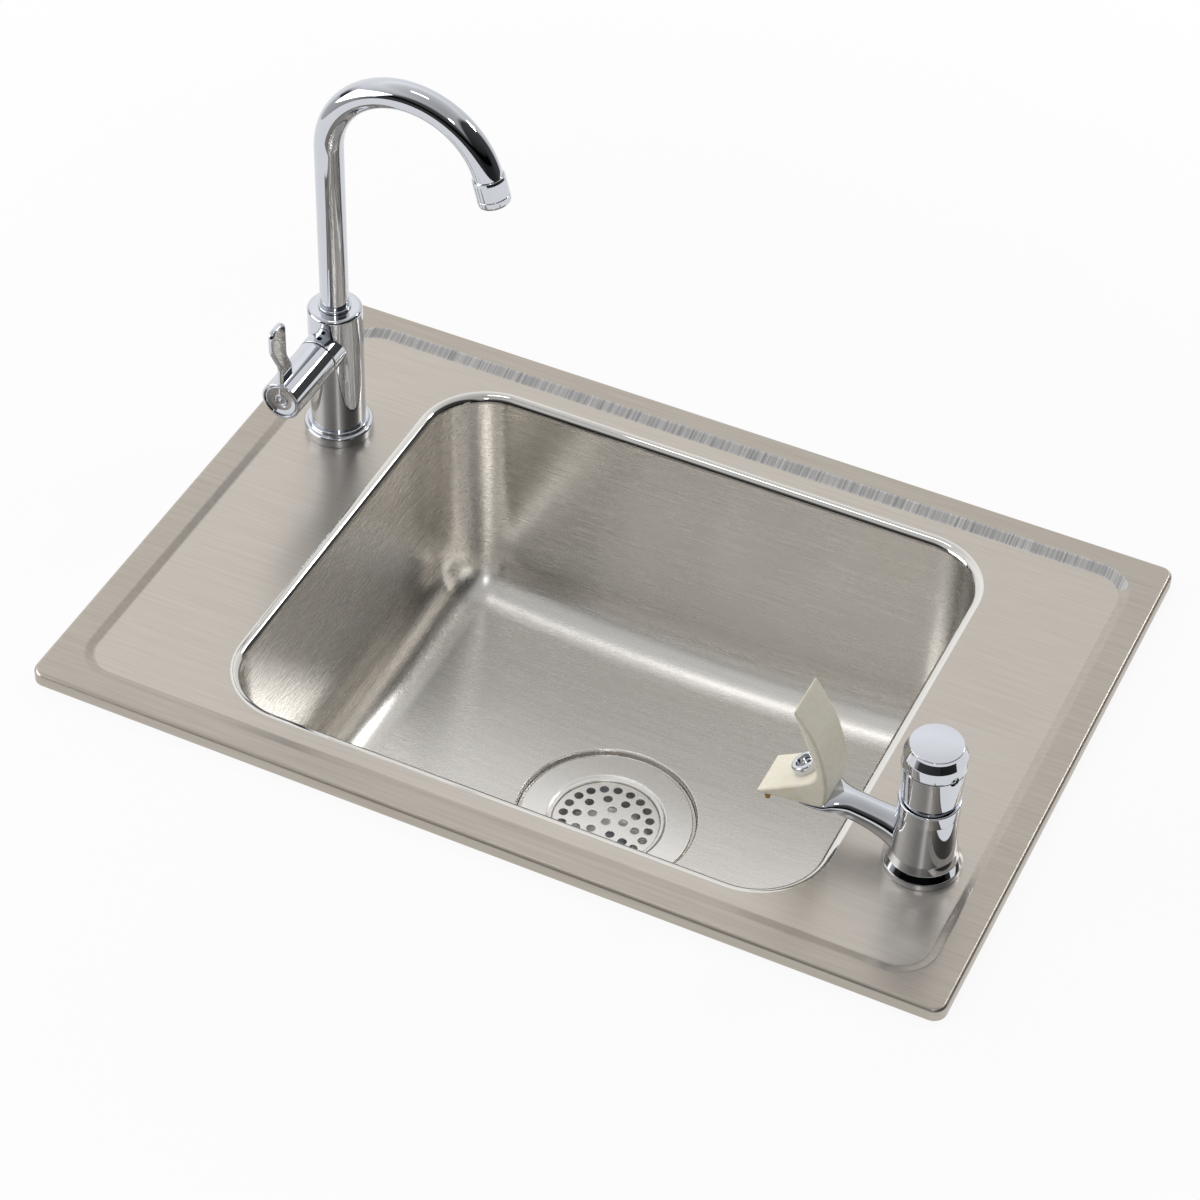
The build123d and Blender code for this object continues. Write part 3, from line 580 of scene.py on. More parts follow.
def deck():
    """The deck from its skirt over the rim and down the step, with openings for the bowl and fixtures."""
    skin = Skin()
    step_w, step_d = OUT_X - 2 * BAND_X, OUT_Y - 2 * BAND_Y
    soft, count = STEP_SOFT, STEP_SOFT_STEPS

    def side(down):
        """Loops from the foot of the skirt to the flat deck, for the skin that lies down below the top."""
        loops = [plate_loop(OUT_X - 2 * down, OUT_Y - 2 * down, CORNER_R - down, z) for z in SKIRT_ROWS]
        for k in range(BEND_STEPS + 1):
            a = pi / 2 * k / BEND_STEPS
            inset = RIM_BEND_R - (RIM_BEND_R - down) * cos(a)
            z = RIM_H - RIM_BEND_R + (RIM_BEND_R - down) * sin(a)
            loops.append(plate_loop(OUT_X - 2 * inset, OUT_Y - 2 * inset, CORNER_R - inset, z))
        steps = [-0.9, -soft] + [-soft + 2 * soft * k / count for k in range(1, count + 1)]
        steps += [0.33, 0.5, 0.67] + [1 - soft + 2 * soft * k / count for k in range(count + 1)]
        for t in steps:
            loops.append(plate_loop(
                step_w - 2 * STEP_RUN_X * t, step_d - 2 * STEP_RUN_Y * t,
                STEP_OUT_R + (STEP_IN_R - STEP_OUT_R) * t, DECK_Z + STEP_DROP * eased(t, soft) - down,
                STEP_CY * min(1, max(0, t + 1)),
            ))
        return [skin.loop(p) for p in loops]

    top, under = side(0.0), side(SHEET)
    step_starts = len(SKIRT_ROWS) + BEND_STEPS + 2
    # Finish 1 is the rim's steel with painted shade
    for i, (a, b) in enumerate(zip(top, top[1:])):
        skin.band(a, b, 1 if i < len(top) - 2 else 0)
        # Only the back stretch of the step, where the glints show, takes the cross-ground finish with painted
        # glints
        if step_starts <= i < len(top) - 2:
            behind_bowl = [skin.points[p].y > OUT_Y / 2 - CROSS_GROUND_GLINT_REACH for p in a]
            skin.finish[-len(a):] = [2 if far else 1 for far in behind_bowl]
    for a, b in zip(under[1:], under):
        skin.band(a, b)
    skin.band(under[0], top[0])
    me = skin.mesh("deck_skin")
    bm = bmesh.new()
    bm.from_mesh(me)
    bm.verts.ensure_lookup_table()
    for z, loop in ((DECK_Z, top[-1]), (DECK_Z - SHEET, under[-1])):
        edges = closed_edges(bm, [bm.verts[i] for i in loop])
        inner = [[beside(s, ROLL_R + ROLL_LAND, z) for s in stations]]
        for x, y in FIXTURES:
            turns = [pi * k / 24 for k in range(48)]
            inner.append([(x + HOLE_R * cos(a), y + HOLE_R * sin(a), z) for a in turns])
        for ring in inner:
            edges += closed_edges(bm, [bm.verts.new([c * MM for c in p]) for p in ring])
        fill_between(bm, edges, (0, 0, 1))
        bm.verts.ensure_lookup_table()
    for x, y in FIXTURES:
        hole = [e for e in bm.edges if e.is_boundary and hypot(
            e.verts[0].co.x - x * MM, e.verts[0].co.y - y * MM) < HOLE_REACH * MM]
        bmesh.ops.bridge_loops(bm, edges=hole)
    bmesh.ops.bridge_loops(bm, edges=[e for e in bm.edges if e.is_boundary])
    bm.to_mesh(me)
    bm.free()
    piece("deck_pressing", me, [deck_steel, rim_steel_painted_shade, step_steel_painted_glints], "sink", ["sink_deck"])


deck()

# Drain
SEAL_T, FLANGE_T, FLANGE_R = 0.8, 1.3, 61.2
CUP_R, CUP_WALL, LEDGE_R, PLATE_DROP, PLATE_T, CUP_DEEP = 38.1, 5.4, 36.3, 2.6, 1.2, 34.0
NIPPLE_R, NIPPLE_LEN, OUTLET_R = 23.4, 17.0, 18.2
flange_z = SEAT_Z + SEAL_T + FLANGE_T
cup_z, cup_out = flange_z - CUP_DEEP, CUP_R + CUP_WALL
nip_z = cup_z - NIPPLE_LEN
ledge_z = flange_z - PLATE_DROP - PLATE_T
at_drain = Matrix.Translation((0, BOWL_CY, 0))
drain_profile = rounded([
    (FLANGE_R, SEAT_Z + 0.3, 0.3), (FLANGE_R, flange_z, 0.7), (CUP_R + 4.2, flange_z, 2),
    (CUP_R + 2.4, flange_z - 0.9, 0.6), (CUP_R, flange_z - 1.0, 0.8), (CUP_R, ledge_z, 0.1),
    (LEDGE_R, ledge_z, 0.3), (LEDGE_R, cup_z + 8, 7), (OUTLET_R, cup_z + 1.5, 2.5), (OUTLET_R, nip_z, 0.4),
    (NIPPLE_R, nip_z, 0.8), (NIPPLE_R, cup_z, 2), (cup_out, cup_z, 8), (cup_out, SEAT_Z + SEAL_T, 1),
    (FLANGE_R - 1, SEAT_Z + SEAL_T, 0.2), (FLANGE_R - 1, SEAT_Z + 0.3, 0.3),
], 5)
piece("drain_cup", Skin(at_drain).turned(drain_profile, 128, closed=True), [drain_steel],
      "sink", ["drain_body"])


def new_tree(name, sizes, inputs=()):
    """A geometry node tree with named inputs for its sizes and for the meshes it works on."""
    tree = bpy.data.node_groups.new(name, "GeometryNodeTree")
    tree.is_modifier = True
    face = tree.interface
    face.new_socket("Geometry", in_out="INPUT", socket_type="NodeSocketGeometry")
    ids = {}
    for label in sizes:
        ids[label] = face.new_socket(label, in_out="INPUT", socket_type="NodeSocketFloat").identifier
    for label in inputs:
        ids[label] = face.new_socket(label, in_out="INPUT", socket_type="NodeSocketObject").identifier
    face.new_socket("Geometry", in_out="OUTPUT", socket_type="NodeSocketGeometry")
    return tree, ids


def grown(name, points, tree, ids, values):
    """Runs a tree on a cloud of points and returns the plain mesh it makes."""
    me = bpy.data.meshes.new(name + "_points")
    me.from_pydata([[c * MM for c in p] for p in points], [], [])
    ob = place_object(name + "_points", me)
    mod = ob.modifiers.new("build", "NODES")
    mod.node_group = tree
    for label, value in values.items():
        mod[ids[label]] = value
    out = evaluated(ob)
    bpy.data.objects.remove(ob)
    return out


# The strainer's holes: ring radius, how many, and the first one's angle in degrees
PUNCHED_RINGS = ((31.0, 20, 9.0), (21.8, 10, 3.0), (12.2, 5, 21.0), (0.0, 1, 0.0))
PLATE_GAP, PUNCH_R = 0.3, 3.2


def strainer():
    """Round holes in rings punched through a thin disc."""
    tree, ids = new_tree("punched_disc", ("Disc Radius", "Hole Radius"))
    given = add(tree, "NodeGroupInput")
    hole = add(tree, "GeometryNodeCurvePrimitiveCircle", Resolution=28, Radius=(given, "Hole Radius"))
    rim = add(tree, "GeometryNodeCurvePrimitiveCircle", Resolution=128, Radius=(given, "Disc Radius"))
    put = add(tree, "GeometryNodeInstanceOnPoints", Points=(given, "Geometry"), Instance=(hole, "Curve"))
    real = add(tree, "GeometryNodeRealizeInstances", Geometry=(put, "Instances"))
    both = add(tree, "GeometryNodeJoinGeometry")
    tree.links.new(real.outputs[0], both.inputs[0])
    tree.links.new(rim.outputs["Curve"], both.inputs[0])
    fill = add(tree, "GeometryNodeFillCurve", Curve=(both, 0))
    paint = add(tree, "GeometryNodeSetMaterial", Geometry=(fill, "Mesh"), Material=drain_steel)
    add(tree, "NodeGroupOutput", Geometry=(paint, 0))
    spots = []
    for r, count, turn in PUNCHED_RINGS:
        for i in range(count):
            a = radians(turn + 360 * i / count)
            spots.append((r * cos(a), r * sin(a), 0))
    values = {"Disc Radius": (CUP_R - PLATE_GAP) * MM, "Hole Radius": PUNCH_R * MM}
    me = grown("strainer", spots, tree, ids, values)
    me.transform(Matrix.Translation((0, BOWL_CY * MM, (ledge_z + PLATE_T) * MM)))
    ob = place_object("strainer_work", me)
    wall = ob.modifiers.new("wall", "SOLIDIFY")
    wall.thickness = PLATE_T * MM
    wall.offset = -1 if me.polygons[0].normal.z > 0 else 1
    me = evaluated(ob)
    bpy.data.objects.remove(ob)
    piece("drain_strainer_plate", me, [drain_steel], "sink", ["drain_strainer"],
          bevel=(0.3, 3))


strainer()

# Tap
at_tap = Matrix.Translation((TAP_X, TAP_Y, DECK_Z))
VALVE_H, TAP_R, TAP_TOP = 80.4, 19.1, 108.0
SHANK_R = 10.4
BASE_R, BASE_SHOULDER, BASE_TOP = 24.25, 7.8, 10.4
base_profile = rounded([
    (SHANK_R + 0.3, 0, 0), (BASE_R, 0, 0.5), (BASE_R, BASE_SHOULDER, 1.9), (21.6, BASE_SHOULDER, 0.4),
    (21.25, BASE_TOP, 1.1), (SHANK_R + 0.3, BASE_TOP, 0),
], 7)
piece("tap_foot_ring", Skin(at_tap).turned(base_profile, 128, closed=True), [chrome], "sink",
      ["tap_base"])

at_valve = at_tap @ axis_at(0, 0, VALVE_H, (0, -1, 0), (1, 0, 0))
COLLAR_R, COLLAR_END = 14.6, 27.0
HUB_R, HUB_END, SEAM = 14.3, 77.2, 0.8
SPOUT_BORE = 10.3
body_profile = rounded([
    (SHANK_R + 0.3, BASE_TOP, 0), (TAP_R, BASE_TOP, 0.5), (TAP_R, TAP_TOP, 3.0), (SPOUT_BORE, TAP_TOP, 0.4),
    (SPOUT_BORE, TAP_TOP - 9, 0), (SHANK_R + 0.3, TAP_TOP - 10, 0),
], 9)
body_skin = Skin(at_tap).turned(body_profile, 128, closed=True)
collar_profile = rounded([
    (0, 12.0, 0), (COLLAR_R, 12.0, 0), (COLLAR_R, COLLAR_END, 0.6), (12.0, COLLAR_END, 0.3),
    (12.0, COLLAR_END - 2.2, 0.2), (0, COLLAR_END - 2.2, 0),
], 6, closed=False)[1:-1]
collar_skin = Skin(at_valve).turned(collar_profile, 128)
GRUB_R, GRUB_V, GRUB_DEEP = 2.0, COLLAR_END - 4.6, 3.2
at_grub = at_tap @ Matrix.Translation((0, -GRUB_V, VALVE_H + COLLAR_R - GRUB_DEEP))
grub_bore = Skin(at_grub).turned([(GRUB_R, 0), (GRUB_R, 6)], 32)
barrel = merged("tap_barrel", body_skin, collar_skin, holes=[grub_bore])
piece("tap_barrel", barrel, [chrome], "sink", ["tap_body"], sharp=28)

RISE, ARCH_R, ARCH_SWEEP, STUB, TUBE_R = 240.0, 59.4, radians(165.0), 7.0, 9.97
RISE_STEPS, ARCH_STEPS = 12, 72
tube_foot = TAP_TOP - 14.6
path = [((0, 0, tube_foot + (RISE - tube_foot) * k / RISE_STEPS), (0, 1)) for k in range(RISE_STEPS)]
for k in range(ARCH_STEPS + 1):
    a = ARCH_SWEEP * k / ARCH_STEPS
    path.append(((ARCH_R * (1 - cos(a)), 0, RISE + ARCH_R * sin(a)), (sin(a), cos(a))))
(ex, _, ez), (dx, dz) = path[-1]
path.append(((ex + dx * STUB, 0, ez + dz * STUB), (dx, dz)))
piece("spout_pipe", swept(Skin(at_tap), TUBE_R, path, 72), [chrome], "spout", ["spout_tube"],
      sharp=40)
RING_BORE, RING_R, RING_LOW, RING_TOP = 10.06, 11.3, TAP_TOP + 0.3, TAP_TOP + 2.3
ring_profile = rounded([
    (RING_BORE, RING_LOW, 0), (RING_R, RING_LOW, 0.3), (RING_R, RING_TOP, 0.8), (RING_BORE, RING_TOP, 0),
], 5)
piece("spout_foot_ring", Skin(at_tap).turned(ring_profile, 96, closed=True), [chrome],
      "spout", ["spout_ring"])

at_mouth = at_tap @ axis_at(ex, 0, ez, (dx, 0, dz))
SLEEVE_R, SLEEVE_END, MOUTH_R, INSERT_R = 11.25, 19.0, 7.9, 9.2
aerator_profile = rounded([
    (RING_BORE, -1, 0), (11.0, -1, 0.4), (SLEEVE_R, 1.2, 0.6), (SLEEVE_R, 12.6, 0.3), (10.95, 13.0, 0.3),
    (SLEEVE_R, 13.4, 0.3), (SLEEVE_R, SLEEVE_END, 2.4), (MOUTH_R, SLEEVE_END, 0.5), (MOUTH_R, 16.5, 0.3),
    (INSERT_R, 16.3, 0.2), (INSERT_R, 8, 0), (RING_BORE, 8, 0),
], 6)
piece("aerator_sleeve", Skin(at_mouth).turned(aerator_profile, 96, closed=True), [chrome], "spout",
      ["aerator_shell"])

disc_v, DISC_R, SPINDLE_BORE = HUB_END - 2.1, 12.3, 4.96
hub_profile = rounded([
    (SPINDLE_BORE, COLLAR_END + SEAM, 0), (HUB_R, COLLAR_END + SEAM, 0.5), (HUB_R, HUB_END, 1.1),
    (DISC_R + 0.15, HUB_END, 0.35), (DISC_R + 0.15, disc_v, 0), (SPINDLE_BORE, disc_v, 0),
], 7)
hub_skin = Skin(at_valve).turned(hub_profile, 128, closed=True)
piece("lever_hub", hub_skin, [chrome], "tap_handle", ["handle_hub"])
# The disc in the hub's end, as (radius, height, corner radius): a raised ring, a dish and a centre boss
RING_GAP = 0.75
disc_rows = [
    (0, 0, 0), (DISC_R - RING_GAP, 0, 0.1), (DISC_R - RING_GAP, 1.5, 0.3), (10.9, 1.5, 0.4), (8.0, 0.9, 8),
    (5.4, 0.8, 0.3), (5.0, 0.3, 0.1), (4.6, 0.3, 0.1), (4.4, 1.2, 0.3), (3.5, 1.2, 0.3), (3.2, 0.5, 0.2),
    (1.9, 0.5, 0.2), (1.6, 1.3, 0.3), (0.5, 1.4, 0),
]
disc_profile = rounded([(r, disc_v + v, ease) for r, v, ease in disc_rows], 3, closed=False)[1:]
piece("lever_hub_disc", Skin(at_valve).turned(disc_profile, 96), [chrome], "tap_handle",
      ["handle_end_cap"])


LEVER_T, LEVER_TIP = 4.2, 64.6


def lever():
    """A flat cast lever: its outline drawn along the hub, given thickness and soft edges."""
    outline = rounded([
        (62, 4, 0), (62.5, 24, 9), (68.5, 36, 8), (68.5, LEVER_TIP, 6), (86, LEVER_TIP, 6), (86, 47, 8),
        (76.5, 28, 9), (76.5, 4, 0),
    ], 8)
    skin = Skin(at_valve)
    loops = [skin.loop([(x, v, u) for u, v in outline]) for x in (-LEVER_T / 2, LEVER_T / 2)]
    skin.band(*loops)
    skin.face(loops[0])
    skin.face(loops[1])
    piece("lever_blade", skin, [chrome], "tap_handle", ["handle_lever"], bevel=(1.5, 5))


lever()

# Bubbler
at_bub = Matrix.Translation((BUB_X, BUB_Y, DECK_Z))
FOOT_R, LOW_R, MID_R = 25.2, 21.0, 18.9
LINE_R, LINE_Z, LINE_TOP = 19.7, 48.5, 58.5
NECK_R, NECK_TOP = 16.9, 72.0
CARTRIDGE_BORE = SHANK_R + 0.06
casting_profile = rounded([
    (CARTRIDGE_BORE, 0, 0), (FOOT_R, 0, 0.5), (FOOT_R, 4.6, 2.6), (LOW_R + 1.4, 9.5, 2.4), (LOW_R, 15.5, 7),
    (MID_R, LINE_Z, 0.5), (LINE_R, LINE_Z + 0.4, 0.4), (LINE_R, LINE_TOP, 1.0), (NECK_R, LINE_TOP + 0.4, 0.4),
    (NECK_R, NECK_TOP, 1), (CARTRIDGE_BORE, NECK_TOP, 0),
], 7)
casting_skin = Skin(at_bub).turned(casting_profile, 128, closed=True)


def smooth_between(rows, steps):
    """Rows of numbers joined by a curve that never swings past them (first number is the way along)."""
    slopes = []
    n = len(rows)
    for i in range(n):
        row = []
        for c in range(1, len(rows[0])):
            if i in (0, n - 1):
                j = 0 if i == 0 else n - 2
                row.append((rows[j + 1][c] - rows[j][c]) / (rows[j + 1][0] - rows[j][0]))
                continue
            a = (rows[i][c] - rows[i - 1][c]) / (rows[i][0] - rows[i - 1][0])
            b = (rows[i + 1][c] - rows[i][c]) / (rows[i + 1][0] - rows[i][0])
            row.append(0 if a * b <= 0 else 2 * a * b / (a + b))
        slopes.append(row)
    out = []
    for i in range(n - 1):
        h = rows[i + 1][0] - rows[i][0]
        for k in range(steps if i < n - 2 else steps + 1):
            t = k / steps
            p = [rows[i][0] + h * t]
            for c in range(1, len(rows[0])):
                m0, m1 = slopes[i][c - 1] * h, slopes[i + 1][c - 1] * h
                p.append((2 * t**3 - 3 * t**2 + 1) * rows[i][c] + (t**3 - 2 * t**2 + t) * m0
                         + (3 * t**2 - 2 * t**3) * rows[i + 1][c] + (t**3 - t**2) * m1)
            out.append(p)
    return out


# The arm from the body out to the head, as (distance, height, half width, half thickness)
arm_rows = [
    (-9, 17.6, 15.5, 16.0), (-18, 20.6, 12.4, 13.6), (-26, 23.2, 10.7, 11.6), (-36, 25.8, 9.9, 10.0),
    (-47, 27.8, 9.8, 9.2), (-56, 29.0, 12.0, 8.0), (-64, 30.0, 16.0, 6.0), (-73, 30.5, 16.9, 4.6),
    (-79, 30.6, 16.2, 3.0), (-82.2, 30.6, 14.6, 1.4), (-83.0, 30.6, 13.6, 0.5),
]
arm_skin = Skin(at_bub)
arm_loops = []
ARM_SIDES = 64
arm_turns = [2 * pi * i / ARM_SIDES for i in range(ARM_SIDES)]
for x, z, half_y, half_z in smooth_between(arm_rows, 5):
    arm_loops.append(arm_skin.loop([(x, half_y * cos(a), z + half_z * sin(a)) for a in arm_turns]))
for a, b in zip(arm_loops, arm_loops[1:]):
    arm_skin.band(a, b)
arm_skin.face(arm_loops[0])
arm_skin.face(arm_loops[-1])
piece("bubbler_casting", merged("bubbler_casting", casting_skin, arm_skin), [chrome], "sink",
      ["bubbler_body"], sharp=28)

# The push cap: a skirt that widens to a fine line, a straight band, a cone and a faintly crowned top
CAP_BORE, CAP_LOW, CAP_ROOF = 17.6, 62.5, 84.0
cap_profile = rounded([
    (0, CAP_ROOF, 0), (CAP_BORE, CAP_ROOF, 0.5), (CAP_BORE, CAP_LOW, 0.2), (18.5, CAP_LOW, 0.3),
    (20.3, 88.4, 0.3), (20.0, 88.9, 0.2), (20.1, 89.6, 0.2), (19.8, 96.8, 2.0), (17.3, 102.6, 0.8),
    (16.9, 104.9, 0.7), (0, 105.0, 0),
], 6, closed=False)
cap_profile = cap_profile[1:-1] + [(12.0, 105.25), (7.0, 105.4), (2.0, 105.45)]
KEY_R, KEY_Z, KEY_TURN, KEY_FROM, KEY_TO = 3.2, 89.0, radians(-32.0), 14.0, 24.0
at_key = at_bub @ axis_at(0, 0, KEY_Z, (cos(KEY_TURN), sin(KEY_TURN), 0), (0, 0, 1))
key_bore = Skin(at_key).turned([(KEY_R, KEY_FROM), (KEY_R, KEY_TO)], 40)
cap = merged("bubbler_push_cap", Skin(at_bub).turned(cap_profile, 128), holes=[key_bore])
piece("bubbler_push_cap", cap, [chrome], "bubbler_cap", ["push_cap"])

SPRING_LOW, SPRING_TOP, SPRING_R, WIRE_R, SPRING_TURNS = 66.2, 83.8, 6.3, 0.85, 6.5


def return_spring():
    """The coil under the push cap."""
    tree, ids = new_tree("coil_spring", ("Coil Radius", "Wire Radius", "Coil Height", "Turns"))
    given = add(tree, "NodeGroupInput")
    coil = add(tree, "GeometryNodeCurveSpiral", Resolution=32, Rotations=(given, "Turns"),
               Height=(given, "Coil Height"), Start_Radius=(given, "Coil Radius"),
               End_Radius=(given, "Coil Radius"))
    wire = add(tree, "GeometryNodeCurvePrimitiveCircle", Resolution=14, Radius=(given, "Wire Radius"))
    tube = add(tree, "GeometryNodeCurveToMesh", Curve=(coil, "Curve"), Profile_Curve=(wire, "Curve"),
               Fill_Caps=True)
    real = add(tree, "GeometryNodeRealizeInstances", Geometry=(tube, "Mesh"))
    paint = add(tree, "GeometryNodeSetMaterial", Geometry=(real, 0), Material=zinc)
    add(tree, "NodeGroupOutput", Geometry=(paint, 0))
    length = SPRING_TOP - SPRING_LOW
    values = {"Coil Radius": SPRING_R * MM, "Wire Radius": WIRE_R * MM, "Turns": SPRING_TURNS,
              "Coil Height": (length - 2 * WIRE_R) * MM}
    me = grown("return_spring", [(0, 0, 0)], tree, ids, values)
    foot = Vector((BUB_X, BUB_Y, DECK_Z + SPRING_LOW)) * MM
    me.transform(Matrix.Translation(foot + Vector((0, 0, WIRE_R * MM))))
    ob = piece("bubbler_return_spring", me, [zinc], "sink", ["bubbler_spring"])
    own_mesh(ob)


return_spring()

JET_R, JET_BORE, JET_TILT = 9.4, 6.0, radians(33.0)
at_jet = at_bub @ axis_at(-79.6, 0, 47.0, (-sin(JET_TILT), 0, cos(JET_TILT)))
STEM_R, STEM_FOOT, WATERWAY_R, HEAD_LOW, HEAD_TOP = 5.4, -22.0, 2.4, -4.7, 5.5
jet_profile = rounded([
    (STEM_R, STEM_FOOT, 0), (STEM_R, HEAD_LOW, 0), (JET_R, HEAD_LOW, 0.3), (JET_R, HEAD_TOP, 1.3),
    (JET_BORE, HEAD_TOP, 0.6), (JET_BORE, 1.0, 0.6), (WATERWAY_R, 1.0, 0.3), (WATERWAY_R, STEM_FOOT, 0),
], 6)
piece("bubbler_nozzle", Skin(at_jet).turned(jet_profile, 80, closed=True), [chrome], "sink",
      ["bubbler_jet"])


def spline(points, steps):
    """A smooth curve through the points."""
    rows = [Vector(p) for p in points]
    rows = [rows[0] * 2 - rows[1], *rows, rows[-1] * 2 - rows[-2]]
    out = []
    for p0, p1, p2, p3 in zip(rows, rows[1:], rows[2:], rows[3:]):
        for k in range(steps):
            t = k / steps
            out.append(0.5 * (2 * p1 + (p2 - p0) * t + (2 * p0 - 5 * p1 + 4 * p2 - p3) * t**2
                              + (3 * p1 - p0 - 3 * p2 + p3) * t**3))
    return [(p.x, p.y) for p in out]


# The guard's half width, the steps round its edge, the largest edge radius and its share of the wall
GUARD_HALF, EDGE_STEPS, EDGE_R, EDGE_SHARE = 17.0, 6, 2.1, 0.42
GUARD_STEP, WALL_LIMIT = 3.0, 9.0


def guard():
    """The soft mouth guard: its side outline with rounded edges across its width."""
    back = spline([(-85.4, 106.4), (-72.4, 88.0), (-64.8, 70.0), (-61.0, 53.0), (-60.7, 40.0)], 7)
    under = rounded([
        (-60.7, 40.0, 0), (-61.2, 33.2, 4.5), (-68.0, 32.0, 3), (-105.2, 27.0, 0.9), (-105.9, 29.2, 0.8),
        (-77.5, 47.6, 0),
    ], 5, closed=False)
    front = spline([
        (-77.5, 47.6), (-71.2, 53.0), (-68.8, 60.0), (-72.6, 72.0), (-77.6, 84.0), (-86.6, 105.9),
    ], 6)
    raw = back + under + front + [(-86.6, 105.9), (-86.2, 106.5)]
    outline = []
    for i, p in enumerate(raw):
        q = raw[(i + 1) % len(raw)]
        gap = hypot(q[0] - p[0], q[1] - p[1])
        if gap < 0.05:
            continue
        shares = max(1, ceil(gap / GUARD_STEP))
        for k in range(shares):
            outline.append((p[0] + (q[0] - p[0]) * k / shares, p[1] + (q[1] - p[1]) * k / shares))
    n = len(outline)
    area = sum(outline[i - 1][0] * outline[i][1] - outline[i][0] * outline[i - 1][1] for i in range(n))
    turn = 1 if area > 0 else -1
    ways = []
    for i in range(n):
        a, b = Vector(outline[i - 1]), Vector(outline[(i + 1) % n])
        d = (b - a).normalized() * turn
        ways.append(Vector((d.y, -d.x)))
    room = []
    for i in range(n):
        p = Vector(outline[i])
        facing = [(Vector(q) - p).length for q, w in zip(outline, ways) if w.dot(ways[i]) < -0.2]
        room.append(min(EDGE_R, EDGE_SHARE * min(facing + [WALL_LIMIT])))
    room = [sum(room[(i + k) % n] for k in range(-2, 3)) / 5 for i in range(n)]
    skin = Skin(at_bub)
    loops = []
    for side in (-1, 1):
        for k in range(EDGE_STEPS + 1):
            a = pi / 2 * (k if side > 0 else EDGE_STEPS - k) / EDGE_STEPS
            ring = []
            for (x, z), w, r in zip(outline, ways, room):
                inset = r * (1 - cos(a))
                y = side * (GUARD_HALF - r + r * sin(a))
                ring.append((x - w.x * inset, y, z - w.y * inset))
            loops.append(skin.loop(ring))
    for a, b in zip(loops, loops[1:]):
        skin.band(a, b)
    me = skin.mesh("guard")
    bm = bmesh.new()
    bm.from_mesh(me)
    bm.verts.ensure_lookup_table()
    for loop in (loops[0], loops[-1]):
        fill_between(bm, closed_edges(bm, [bm.verts[i] for i in loop]), (0, 1, 0))
    bm.to_mesh(me)
    bm.free()
    piece("mouth_guard_moulding", me, [ivory], "sink", ["mouth_guard"], sharp=50)


guard()


# Counter, light and camera
# Metres: the counter's reach and its surround's, the cut-out's half sizes and the top's height, which
# lies a hair under the rim's foot
SPREAD, SURROUND, CUT_X, CUT_Y, TOP_Z = 1.0, 5.0, 0.309, 0.208, -0.0004
ROUND_SIDES = 64


def circle(bm, radius):
    """Vertices round a circle at the height of the counter's top."""
    turns = [2 * pi * k / ROUND_SIDES for k in range(ROUND_SIDES)]
    return [bm.verts.new((radius * cos(a), radius * sin(a), TOP_Z)) for a in turns]


def surround():
    """Beyond the counter: white to the camera, and open to light and to reflections."""
    mat, t = surface("white_surround")
    rays = add(t, "ShaderNodeLightPath")
    clear = add(t, "ShaderNodeBsdfTransparent")
    white = add(t, "ShaderNodeEmission", Strength=1.0)
    mix = add(t, "ShaderNodeMixShader", I0=(rays, "Is Camera Ray"), I1=(clear, 0), I2=(white, 0))
    add(t, "ShaderNodeOutputMaterial", Surface=(mix, 0))
    return mat


def counter():
    """A plain pale surface with a cut-out hidden under the rim."""
    me = bpy.data.meshes.new("counter")
    bm = bmesh.new()
    outer = circle(bm, SPREAD)
    inner = [bm.verts.new((sx * CUT_X, sy * CUT_Y, TOP_Z)) for sx, sy in SIGNS]
    fill_between(bm, closed_edges(bm, outer) + closed_edges(bm, inner), (0, 0, 1))
    limit = circle(bm, SURROUND)
    for k in range(ROUND_SIDES):
        bm.faces.new((outer[k - 1], limit[k - 1], limit[k], outer[k])).material_index = 1
    bm.to_mesh(me)
    ob = place_object("counter", me)
    mat, t = surface("pale_counter")
    rays = add(t, "ShaderNodeLightPath")
    seen = add(t, "ShaderNodeMath", operation="MAXIMUM", I0=(rays, "Is Camera Ray"),
               I1=(rays, "Is Glossy Ray"))
    at = add(t, "ShaderNodeTexCoord")
    far = add(t, "ShaderNodeVectorMath", operation="LENGTH", I0=(at, "Object"))
    share = add(t, "ShaderNodeMapRange", Value=(far, "Value"), From_Min=0.45, From_Max=0.95 * SPREAD,
                To_Min=0.9, To_Max=1.0)
    seen = add(t, "ShaderNodeMath", operation="MULTIPLY", I0=(seen, 0), I1=(share, 0))
    cloud = grain(t, (333.3, 333.3, 333.3))
    tones = [(0.3, hex_rgb("F4F4F3")), (0.7, hex_rgb("F8F8F8"))]
    tone = add(t, "ShaderNodeValToRGB", Fac=(cloud, 0), stops=tones)
    plain = add(t, "ShaderNodeBsdfDiffuse", Color=(tone, 0))
    glow = add(t, "ShaderNodeEmission", Strength=1.0)
    mix = add(t, "ShaderNodeMixShader", I0=(seen, 0), I1=(plain, 0), I2=(glow, 0))
    add(t, "ShaderNodeOutputMaterial", Surface=(mix, 0))
    me.materials.append(mat)
    me.materials.append(surround())


counter()

